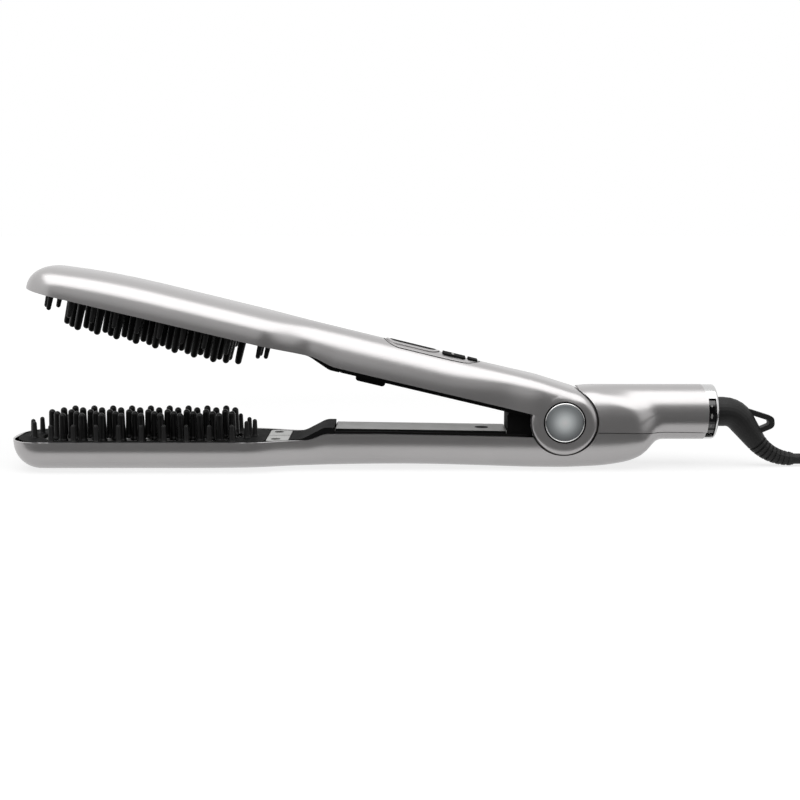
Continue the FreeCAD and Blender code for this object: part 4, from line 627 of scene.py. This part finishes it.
def make_rear_shell():
    xs = stations(REAR_LOFT_X, BEFORE_REAR, 2.0) + rear_stations(CASING_END + 2)
    shell = add_mesh("rear_shell", *loft([lower_ring(x) for x in xs]))
    below = [(0, -HIGH), (PAST_END, -HIGH), (PAST_END, SEAM_END_Z + SEAM), (SEAM_FALL_X, SEAM_Z + SEAM),
             (0, SEAM_Z + SEAM)]
    front = [(0, 0), (REAR_FRONT_X, 0), (REAR_FRONT_X, HIGH), (0, HIGH)]
    end = [(REAR_END_X, 0), (BORE[1], 0), (BORE[1], HIGH),
           (REAR_END_X - TOP_SLANT * (HIGH - SLANT_Z), HIGH), (REAR_END_X, SLANT_Z)]
    for waste in (below, front, end):
        combine(shell, prism(waste, "y", *ACROSS))
    cut_rear(shell)
    settle(shell, BASE, SILVER, "casing", "rear_cover")


def knuckle(steps=48, sides=128):
    """Drum across the arm's end: crisp edges below and behind, a rounded one on top."""
    rings = []
    for i in range(steps + 1):
        angle = math.pi * (i / steps - 0.5)
        s, c = math.sin(angle), max(math.cos(angle), 0)
        ring = []
        for j in range(sides):
            turn = 2 * math.pi * j / sides
            crisp, soft = KNUCKLE_POWERS
            power = crisp + (soft - crisp) * max(0.0, math.sin(turn)) ** 1.5
            radius = KNUCKLE_RADIUS * max(c, 1e-4) ** (2 / power)
            y = KNUCKLE_HALF * math.copysign(abs(s) ** (2 / power), s)
            ring.append(mm(radius * math.cos(turn), y, radius * math.sin(turn)))
        rings.append(ring)
    return loft(rings)


def make_upper_shell():
    shell = add_mesh("upper_shell", *loft([upper_ring(x) for x in upper_stations(-UPPER_REACH, 0.0)]))
    combine(shell, knuckle(), "UNION")
    hollow = [upper_ring(x, WALL + ROOT_WALL * eased((x - ROOT_FROM) / ROOT_OVER), 0, ARM_SKIRT)
              for x in upper_stations(-UPPER_REACH + NOSE_WALL, ARM_HOLLOW_END)]
    combine(shell, loft(hollow))
    room = KNUCKLE_HALF - CHEEK
    combine(shell, prism(circle(0, 0, HUB_ROOM), "y", -room, room))
    combine(shell, prism(HUB_SLOT, "y", -room, room))
    for near, far in ((-PAST_SIDE, -RECESS_FLOOR), (RECESS_FLOOR, PAST_SIDE)):
        combine(shell, prism(circle(0, 0, RECESS_RADIUS), "y", near, far))
    combine(shell, prism(stadium(PANEL_FRONT, PANEL_REAR, PANEL_HALF), "z", PANEL_CUT, ABOVE_ARM))
    in_arm(shell)
    settle(shell, ARM, SILVER, "casing", "upper_casing")


make_lower_shell()
make_rear_shell()
make_upper_shell()

# ---------------------------------------------------------------- water tank

TANK_FRONT, TANK_REAR, TANK_TOP = -32.4, 47.2, 14.1
TANK_INSET, TANK_FLOOR, TANK_PAST = 2.2, 2.4, 10


def make_tank():
    sections = [lower_ring(x, TANK_INSET, TANK_FLOOR) for x in stations(TANK_FRONT, TANK_REAR, 4)]
    tub = add_mesh("tank_tub", *loft(sections))
    front, rear = TANK_FRONT - TANK_PAST, TANK_REAR + TANK_PAST
    above = [(front, TANK_TOP), (rear, TANK_TOP), (rear, HIGH), (front, HIGH)]
    combine(tub, prism(above, "y", *ACROSS))
    soften(tub, 0.4)
    settle(tub, BASE, TANK, "clear", "water_tank")


make_tank()

# ---------------------------------------------------------------- bristles


def pins_of(node, into):
    """(x, y, low, high) in mm of each pin of a CAD node, in the frame that the matrix leads to."""
    shape = bmesh.new()
    shape.from_mesh(NODES[node].data)
    bmesh.ops.remove_doubles(shape, verts=shape.verts, dist=1e-6)
    left = set(shape.verts)
    pins = []
    while left:
        waiting = [left.pop()]
        found = []
        while waiting:
            vertex = waiting.pop()
            found.append(into @ vertex.co / MM)
            near = {edge.other_vert(vertex) for edge in vertex.link_edges} & left
            left -= near
            waiting += near
        spans = [(min(p[i] for p in found), max(p[i] for p in found)) for i in range(3)]
        pins.append(((spans[0][0] + spans[0][1]) / 2, (spans[1][0] + spans[1][1]) / 2, *spans[2]))
    shape.free()
    return sorted(pins)


# A bristle's root: height over the frame's face, and how much wider it is than the foot.
PIN_ROOT = [(-1.0, 0.35), (0.0, 0.35), (0.3, 0.12), (0.9, -0.02)]
PIN_TIP_STEPS = 6


def pin_profile(foot, tip, length):
    """Outline of one moulded bristle: flared root, slight taper and round tip."""
    outline = [(height, foot + wider) for height, wider in PIN_ROOT]
    for i in range(PIN_TIP_STEPS + 1):
        angle = math.pi / 2 * i / PIN_TIP_STEPS
        outline.append((length - tip + tip * math.sin(angle), tip * math.cos(angle)))
    return [(distance * MM, radius * MM) for distance, radius in outline]


def make_bristles(name, node, upper, level, foot, tip, sides, material):
    """A field of bristles over the CAD's pins; level is the frame's face that they stand on."""
    into = ARM_FRAME.inverted() if upper else Matrix.Identity(4)
    axis = (0, 0, -1) if upper else (0, 0, 1)
    parts = []
    for x, y, low, high in pins_of(node, into):
        length = level - low if upper else high - level
        parts.append(lathe(pin_profile(foot, tip, length), mm(x, y, level), axis, sides))
    field = add_mesh(name, *merge(parts))
    if upper:
        in_arm(field)
    settle(field, ARM if upper else BASE, material, "bristle", node, smooth=50)


LOWER_RIM_Z = 14.5
UPPER_RIM_Z = 2.6
# Radius at the foot and at the tip, and sides.
LONG_PIN = (1.9, 1.55, 20)
SHORT_PIN = (1.3, 1.05, 16)
for upper, arm, level in ((False, "lower", LOWER_RIM_Z), (True, "upper", UPPER_RIM_Z)):
    make_bristles(arm + "_long_bristles", arm + "_bristles", upper, level, *LONG_PIN, BRISTLE)
    make_bristles(arm + "_short_bristles", arm + "_edge_bristles", upper, level, *SHORT_PIN,
                  EDGE_BRISTLE)

# ---------------------------------------------------------------- hinge caps

CAP_RADIUS = 9.1
CAP_DOME = 8.45
# The dome's rounded edge, where its crown begins on the hinge axis, and the crown's height.
DOME_EDGE, DOME_FOOT, DOME_HIGH, DOME_RINGS = 0.15, 16.2, 0.75, 12


def cap_with_painted_highlight():
    """Satin metal with a painted highlight: paler towards the middle of the cap and darker towards its
    edge.
    """
    material = finish("cap_metal_painted_highlight", "#8f9395", 0.32, metallic=0.1, vary=0.02, bump=0.01)
    tree = material.node_tree
    place = add_node(tree, "TexCoord").outputs["Object"]
    offset = add_node(tree, "VectorMath", {0: place, 1: HINGE}, operation="SUBTRACT").outputs[0]
    flat = add_node(tree, "VectorMath", {0: offset, 1: (1, 0, 1)}, operation="MULTIPLY").outputs[0]
    length = add_node(tree, "VectorMath", {0: flat}, operation="LENGTH").outputs["Value"]
    reach = add_node(tree, "MapRange", {"Value": length, "From Max": CAP_DOME * MM}).outputs["Result"]
    # Painted highlight: the ramp runs from white at the cap's middle to grey at its edge.
    ramp = add_node(tree, "ValToRGB", {"Fac": reach})
    ramp.color_ramp.elements[0].color = colour("#ffffff")
    ramp.color_ramp.elements[1].color = colour("#717577")
    for position, shade in ((0.3, "#e9eeef"), (0.68, "#a9adaf")):
        ramp.color_ramp.elements.new(position).color = colour(shade)
    tree.links.new(ramp.outputs["Color"], tree.nodes["Principled BSDF"].inputs["Base Color"])
    return material


def both_sides(profile, sides=96):
    """A turned form on each end of the hinge axis; the profile runs outwards, in mm."""
    scaled = [(distance * MM, radius * MM) for distance, radius in profile]
    return merge([lathe(scaled, (0, 0, 0), (0, sign, 0), sides) for sign in (-1, 1)])


def make_caps():
    black_ring = add_mesh("cap_gaskets", *both_sides([(RECESS_FLOOR, 9.68), (15.55, 9.68), (15.7, 9.55),
                                                  (15.7, 8.9)]))
    ring = add_mesh("cap_rings", *both_sides([(15.1, CAP_RADIUS), (15.95, CAP_RADIUS), (16.2, 8.95),
                                              (16.28, 8.75), (16.2, 8.6), (15.8, 8.55)]))
    crown = [(15.4, CAP_DOME), (16.05, CAP_DOME), (DOME_FOOT, CAP_DOME - DOME_EDGE)]
    for i in range(1, DOME_RINGS + 1):
        radius = (CAP_DOME - DOME_EDGE) * (1 - i / DOME_RINGS)
        crown.append((DOME_FOOT + DOME_HIGH * (1 - (radius / CAP_DOME) ** 2), radius))
    dome = add_mesh("cap_domes", *both_sides(crown))
    for piece, material in ((black_ring, BLACK), (ring, CHROME), (dome, cap_with_painted_highlight())):
        in_arm(piece)
        settle(piece, ARM, material, "chrome", "hinge_caps", smooth=40)


make_caps()

# ---------------------------------------------------------------- controls

# Outlines: reach of the front and rear ends, half width and, for a box, its corner radius.
KEY_PLAN = (88.2, 62.8, 5.5)
INLAY_PLAN = (86.4, 64.6, 3.5)
STEAM_PLAN = (61.2, 50.6, 4.9, 1.2)
POWER_PLAN = (49.2, 44.8, 4.1, 1.2)
LINE_PLAN = (57.2, 56.0, 3.9, 0.5)
KEY_GAP, BUTTON_GAP = 0.25, 0.3
# Painted shade: a black strip in the gap round the control panel stands in for the gap's shadow; the
# insets of its outer and inner edges.
GAP_SHADE_OUTER, GAP_SHADE_INNER = 0.02, 0.8
# How far each piece stands above the arm's arch, and how low it reaches in the arm's frame.
PANEL_RISE, PANEL_LOW = 0.05, 12.6
GAP_SHADE_RISE, GAP_SHADE_LOW = -0.1, 12.4
KEY_RISE, BUTTON_RISE, CAP_LOW = 0.55, 0.8, 13.4
INLAY_RISE, LINE_RISE, INLAY_LOW = 0.62, 0.88, 14.0
CROWN_FROM, CROWN_TO, CROWN_STEP = -96, -38, 1.5


def crowned(name, corners, grow, low):
    """A cap whose top follows the arm's arch, standing proud of it by grow."""
    rings = [upper_ring(x, 0.0, grow) for x in stations(CROWN_FROM, CROWN_TO, CROWN_STEP)]
    piece = add_mesh(name, *loft(rings))
    combine(piece, prism(corners, "z", low, ABOVE_ARM), "INTERSECT")
    return piece


def widened(plan, gap):
    """The plan of an opening that leaves the gap all round a piece."""
    front, rear, *rest = plan
    return (front + gap, rear - gap, *(size + gap for size in rest))


def panel_outline(gap):
    """The control panel's opening, drawn in by the gap."""
    return stadium(PANEL_FRONT - gap, PANEL_REAR + gap, PANEL_HALF - gap)


def make_panel():
    panel = crowned("control_panel", panel_outline(PANEL_GAP), PANEL_RISE, PANEL_LOW)
    openings = [stadium(*widened(KEY_PLAN, KEY_GAP))]
    openings += [rounded_box(*widened(plan, BUTTON_GAP)) for plan in (STEAM_PLAN, POWER_PLAN)]
    for opening in openings:
        combine(panel, prism(opening, "z", 0, ABOVE_ARM))
    # Painted shade: a black strip under the panel's edge makes the gap round the panel read dark.
    black_ring = crowned("panel_gap_shade", panel_outline(GAP_SHADE_OUTER), GAP_SHADE_RISE, GAP_SHADE_LOW)
    combine(black_ring, prism(panel_outline(GAP_SHADE_INNER), "z", 0, ABOVE_ARM))
    in_arm(black_ring)
    settle(black_ring, ARM, BLACK, "panel")
    soften(panel, 0.15)
    in_arm(panel)
    settle(panel, ARM, SILVER, "panel", "control_bezel")


def make_key(name, corners, rise, low, rounding, body, material, *nodes):
    """A key's cap or the inlay on it; rounding is the width of its rounded edges."""
    piece = crowned(name, corners, rise, low)
    if rounding:
        soften(piece, rounding, 3)
    in_arm(piece)
    settle(piece, body, material, "key", *nodes)


def make_keys():
    make_key("temperature_key_cap", stadium(*KEY_PLAN), KEY_RISE, CAP_LOW, 0.35,
             "temperature_key", SILVER, "temperature_rocker")
    make_key("temperature_key_inlay", stadium(*INLAY_PLAN), INLAY_RISE, INLAY_LOW, 0,
             "temperature_key", BLACK)
    make_key("steam_key_cap", rounded_box(*STEAM_PLAN), BUTTON_RISE, CAP_LOW, 0.35,
             "steam_key", BLACK, "steam_button")
    make_key("power_key_cap", rounded_box(*POWER_PLAN), BUTTON_RISE, CAP_LOW, 0.35,
             "power_key", BLACK, "power_button")
    make_key("steam_key_line", rounded_box(*LINE_PLAN), LINE_RISE, INLAY_LOW, 0,
             "steam_key", PANEL_GREY)


make_panel()
make_keys()

# ---------------------------------------------------------------- lid seals and liner joint

LID_FRONT, LID_REAR, LID_HALF = -32.0, 46.8, 9.82
SEAL_HALF, SEAL_HEIGHT, SEAL_FRONT_TOP, SEAL_REAR_TOP = 10.4, 1.2, 19.4, 18.22
JOINT_FRONT, JOINT_REAR, JOINT_HALF, JOINT_LOW, JOINT_TOP = -107.5, -104.3, 11.0, -1.75, -0.2


def make_lid_seals():
    """Black seals along the two long edges of the tank's lid."""
    outline = [(LID_FRONT, SEAL_FRONT_TOP - SEAL_HEIGHT), (LID_REAR, SEAL_REAR_TOP - SEAL_HEIGHT),
               (LID_REAR, SEAL_REAR_TOP), (LID_FRONT, SEAL_FRONT_TOP)]
    seals = merge([prism(outline, "y", side * LID_HALF, side * SEAL_HALF) for side in (-1, 1)])
    piece = add_mesh("lid_seals", *seals)
    soften(piece, 0.12)
    settle(piece, BASE, BLACK, "rubber")


make_lid_seals()


def make_liner_joint():
    """Thin strip behind the joint between the ramp and the liner of the upper arm."""
    corners = [(JOINT_FRONT, -JOINT_HALF), (JOINT_REAR, -JOINT_HALF), (JOINT_REAR, JOINT_HALF),
               (JOINT_FRONT, JOINT_HALF)]
    strip = add_mesh("liner_joint", *prism(corners, "z", JOINT_LOW, JOINT_TOP))
    soften(strip, 0.15)
    in_arm(strip)
    settle(strip, ARM, BLACK, "black_plastic")


make_liner_joint()

# ---------------------------------------------------------------- end cap and dial

CAP_START, CAP_END = 136.6, 144.8
CAP_BORE = 7.25
CAP_CUT = (130, 150)
WINDOW_FRONT, WINDOW_REAR, WINDOW_LOW, WINDOW_HIGH, WINDOW_DEPTH = 139.7, 143.55, 14.9, 33.6, 5.0
DIAL_RADIUS, DIAL_ROOM = 11.6, 0.15
MARKS, FIRST_MARK, MARK_X = 15, -92.5, 141.6
# Half length along the brush and half width round the dial of a long and a short mark.
LONG_MARK, SHORT_MARK = (0.45, 1.25), (0.4, 0.65)
MARK_SUNK, MARK_RISE, MARK_SIDES = 0.2, 0.08, 20


def make_end_cap():
    outline = [(CAP_START, 12.5), (138.0, 12.5), (138.0, 12.86), (143.6, 12.86), (144.1, 12.72),
               (144.5, 12.4), (144.73, 11.95), (CAP_END, 11.4)]
    cap = add_mesh("end_ring", *lathe([(x * MM, r * MM) for x, r in outline], mm(0, 0, BARREL_Z),
                                      (1, 0, 0), 128))
    combine(cap, prism(circle(0, BARREL_Z, DIAL_RADIUS + DIAL_ROOM), "x", CAP_CUT[0], WINDOW_REAR))
    combine(cap, prism(circle(0, BARREL_Z, CAP_BORE), "x", *CAP_CUT))
    window = [(WINDOW_FRONT, WINDOW_LOW), (WINDOW_REAR, WINDOW_LOW), (WINDOW_REAR, WINDOW_HIGH),
              (WINDOW_FRONT, WINDOW_HIGH)]
    for near, far in ((-PAST_SIDE, -WINDOW_DEPTH), (WINDOW_DEPTH, PAST_SIDE)):
        combine(cap, prism(window, "y", near, far))
    settle(cap, BASE, CHROME, "chrome", "end_cap")


def dial_mark(middle, long, wide):
    """One oval mark on the dial; middle is its angle from the top, in radians."""
    rings = []
    for radius in (DIAL_RADIUS - MARK_SUNK, DIAL_RADIUS + MARK_RISE):
        ring = []
        for i in range(MARK_SIDES):
            turn = 2 * math.pi * i / MARK_SIDES
            angle = middle + wide / radius * math.sin(turn)
            ring.append(mm(MARK_X + long * math.cos(turn), radius * math.sin(angle),
                           BARREL_Z + radius * math.cos(angle)))
        rings.append(ring)
    return loft(rings)


def make_dial_marks():
    """Small raised oval marks round the dial, every third one longer."""
    marks = [dial_mark(math.radians(FIRST_MARK + 360 / MARKS * i), *(SHORT_MARK if i % 3 else LONG_MARK))
             for i in range(MARKS)]
    piece = add_mesh("dial_marks", *merge(marks))
    settle(piece, "dial", MARK, "panel")


make_end_cap()
make_dial_marks()

# ---------------------------------------------------------------- cord

CORD_DIAMETER = 5.0
CORD_ROUTE = [(183.229, 0, 3.3), (197.229, 0, 3.3), (212.229, -4.5, 2.6), (226.229, -14.5, 2.6),
              (241.229, -20.0, 2.6), (255.0, -20.0, 2.6)]
LAP_RADII = (20.0, 15.0, 15.0, 20.0, 20.0, 15.0)
LAP_LEVELS = (2.6, 2.6, 7.6, 7.6, 12.6, 12.6)
NEAR_TURN_X = (260.0, 265.0, 260.0, 255.0, 260.0)
STRAIGHT_END = 8.0
# Control points before the plug: how far past its rear end, and off its axis in y and z.
# The first is measured from midway between the last lap and the plug instead.
LIFT_TO_PLUG = (18, 1, -1)
TO_PLUG = [(9, 1, -0.6), (0, 0, 0), (-3, 0, 0)]


def half_turn(x, first_y, last_y, first_z, last_z, outwards, steps=7):
    """Control points of a U-turn from first_y to last_y; outwards is +1 at the far end."""
    middle = (first_y + last_y) / 2
    radius = abs(first_y - last_y) / 2
    reach = radius / math.cos(math.pi / (2 * steps))
    start = math.copysign(math.pi / 2, first_y - last_y)
    points = []
    for i in range(steps):
        share = (i + 0.5) / steps
        angle = start * (1 - 2 * share)
        rise = min(1, max(0, share * 2 - 0.3))
        points.append((x + outwards * reach * math.cos(angle), middle + reach * math.sin(angle),
                       first_z + (last_z - first_z) * rise))
    return points


def hank_points():
    """Control points of the folded length: laps on three layers, then the rise to the plug."""
    far_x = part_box("cord_hank")[1].x / MM - LAP_RADII[0] - CORD_DIAMETER / 2
    middle_x = (NEAR_TURN_X[0] + far_x) / 2
    points = []
    for lap, (radius, level) in enumerate(zip(LAP_RADII, LAP_LEVELS)):
        points.append((middle_x, -radius, level))
        points.append((far_x - STRAIGHT_END, -radius, level))
        points += half_turn(far_x, -radius, radius, level, level, 1)
        if lap == len(LAP_RADII) - 1:
            break
        near_x = NEAR_TURN_X[lap]
        points.append((far_x - STRAIGHT_END, radius, level))
        points.append((middle_x, radius, level))
        points.append((near_x + STRAIGHT_END, radius, level))
        points += half_turn(near_x, radius, -LAP_RADII[lap + 1], level, LAP_LEVELS[lap + 1], -1)
        points.append((near_x + STRAIGHT_END, -LAP_RADII[lap + 1], LAP_LEVELS[lap + 1]))
    lo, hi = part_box("plug_body")
    plug_y = (lo.y + hi.y) / 2 / MM
    plug_z = (lo.z + hi.z) / 2 / MM
    tail_x = hi.x / MM
    radius, level = LAP_RADII[-1], LAP_LEVELS[-1]
    points.append((far_x - STRAIGHT_END, radius, level))
    past, aside, above = LIFT_TO_PLUG
    points.append((tail_x + past, (radius + plug_y) / 2 + aside, (level + plug_z) / 2 + above))
    return points + [(tail_x + past, plug_y + aside, plug_z + above) for past, aside, above in TO_PLUG]


def spline_line(name, points):
    """Points along the NURBS curve that has these control points."""
    curve = bpy.data.curves.new(name, "CURVE")
    curve.dimensions = "3D"
    spline = curve.splines.new("NURBS")
    spline.points.add(len(points) - 1)
    for control, point in zip(spline.points, points):
        control.co = (*mm(*point), 1)
    spline.order_u = 3
    spline.use_endpoint_u = True
    spline.resolution_u = 8
    holder = bpy.data.objects.new(name, curve)
    bpy.context.scene.collection.objects.link(holder)
    line = bpy.data.meshes.new_from_object(holder)
    found = [vertex.co.copy() for vertex in line.vertices]
    bpy.data.objects.remove(holder)
    bpy.data.meshes.remove(line)
    return found


def tube(line, radius, sides=20):
    """A round tube along the points, without twist."""
    rings = []
    side = Vector((0, 1, 0))
    for i, point in enumerate(line):
        ahead = (line[min(i + 1, len(line) - 1)] - line[max(i - 1, 0)]).normalized()
        side = (side - ahead * side.dot(ahead)).normalized()
        rings.append(round_ring(point, side, ahead.cross(side), radius, sides))
    return loft(rings)


def make_cord():
    line = spline_line("cord_line", CORD_ROUTE + hank_points())
    cord = add_mesh("mains_cord", *tube(line, CORD_DIAMETER / 2 * MM))
    smooth_by_angle(cord, 60)
    paint(cord, RUBBER)
    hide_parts("cord_tube", "cord_hank")
    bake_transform(cord)


make_cord()

# ---------------------------------------------------------------- light and floor

WHITE = (1, 1, 1, 1)
AMBIENT, BACKDROP = 0.12, 1.0
FLOOR_HALF, FLOOR_Z = 6.0, -0.0002
FLOOR_GREY = (0.3, 0.3, 0.3, 1)
# The floor's own light as it is seen, from near the object to far from it.
GLOW_REACH = (0.22, 0.8)
GLOW_LEVEL = (0.78, 1.0)
CARD_HALF, CARD_NEAR, CARD_FAR, CARD_LOW, CARD_HIGH = 0.8, -0.035, -1.2, 0.0005, 0.85
CARD_GREY, CARD_ROUGHNESS = (0.05, 0.05, 0.05, 1), 0.9


def seen_directly(tree):
    """1 for camera, glossy and transmission rays, else 0."""
    path = add_node(tree, "LightPath")
    total = path.outputs["Is Camera Ray"]
    for name in ("Is Glossy Ray", "Is Transmission Ray"):
        total = add_node(tree, "Math", {0: total, 1: path.outputs[name]}, operation="MAXIMUM").outputs[0]
    return total


def make_world():
    world = bpy.data.worlds.new("studio")
    bpy.context.scene.world = world
    world.use_nodes = True
    tree = world.node_tree
    tree.nodes.clear()
    soft = add_node(tree, "Background", {"Color": WHITE, "Strength": AMBIENT}).outputs[0]
    backdrop = add_node(tree, "Background", {"Color": WHITE, "Strength": BACKDROP}).outputs[0]
    mix = add_node(tree, "MixShader", {"Fac": seen_directly(tree), 1: soft, 2: backdrop}).outputs[0]
    add_node(tree, "OutputWorld", {"Surface": mix})


def make_floor():
    """A matt floor that shows the object's shadow and glows to white away from it."""
    corners = [(-FLOOR_HALF, -FLOOR_HALF), (FLOOR_HALF, -FLOOR_HALF), (FLOOR_HALF, FLOOR_HALF),
               (-FLOOR_HALF, FLOOR_HALF)]
    floor = add_mesh("floor", [(x, y, FLOOR_Z) for x, y in corners], [(0, 1, 2, 3)])
    material = bpy.data.materials.new("floor_white")
    material.use_nodes = True
    tree = material.node_tree
    tree.nodes.clear()
    plain = add_node(tree, "BsdfDiffuse", {"Color": FLOOR_GREY}).outputs[0]
    place = add_node(tree, "TexCoord").outputs["Object"]
    reach = add_node(tree, "VectorMath", {0: place}, operation="LENGTH").outputs["Value"]
    (near, far), (low, high) = GLOW_REACH, GLOW_LEVEL
    level = add_node(tree, "MapRange", {"Value": reach, "From Min": near, "From Max": far,
                                        "To Min": low, "To Max": high}).outputs["Result"]
    lift = add_node(tree, "Math", {0: seen_directly(tree), 1: level},
                    operation="MULTIPLY").outputs[0]
    glow = add_node(tree, "Emission", {"Strength": lift}).outputs[0]
    total = add_node(tree, "AddShader", {0: plain, 1: glow}).outputs[0]
    add_node(tree, "OutputMaterial", {"Surface": total})
    paint(floor, material)


def make_card():
    """A dark card that only reflections see, on the floor in front and up behind the camera.

    It keeps the sides of the silver paint as dark as in the photo."""
    outline = [(CARD_NEAR, CARD_LOW), (CARD_FAR, CARD_LOW), (CARD_FAR, CARD_HIGH)]
    card = add_mesh("front_card", [(x, y, z) for y, z in outline for x in (-CARD_HALF, CARD_HALF)],
                    [(0, 1, 3, 2), (2, 3, 5, 4)])
    material = bpy.data.materials.new("card_grey")
    material.use_nodes = True
    shader = material.node_tree.nodes["Principled BSDF"]
    shader.inputs["Base Color"].default_value = CARD_GREY
    shader.inputs["Roughness"].default_value = CARD_ROUGHNESS
    paint(card, material)
    card.visible_camera = False
    card.visible_shadow = False
    card.visible_diffuse = False


def make_lamp(name, place, aim, width, height, power):
    """A rectangular area light, in metres and watts."""
    data = bpy.data.lights.new(name, "AREA")
    data.shape = "RECTANGLE"
    data.size = width
    data.size_y = height
    data.energy = power
    lamp = bpy.data.objects.new(name, data)
    bpy.context.scene.collection.objects.link(lamp)
    lamp.location = place
    lamp.rotation_euler = (Vector(aim) - Vector(place)).to_track_quat("-Z", "Y").to_euler()


make_world()
make_floor()
make_card()
# Place, the point it faces, width, height and power.
make_lamp("top_softbox", (0, -0.3, 0.9), (0, 0, 0.03), 1.6, 1.1, 11)
make_lamp("front_fill", (-0.2, -1.1, 0.35), (0, 0, 0.04), 0.8, 0.5, 0.8)

bpy.context.scene.view_settings.view_transform = "Standard"
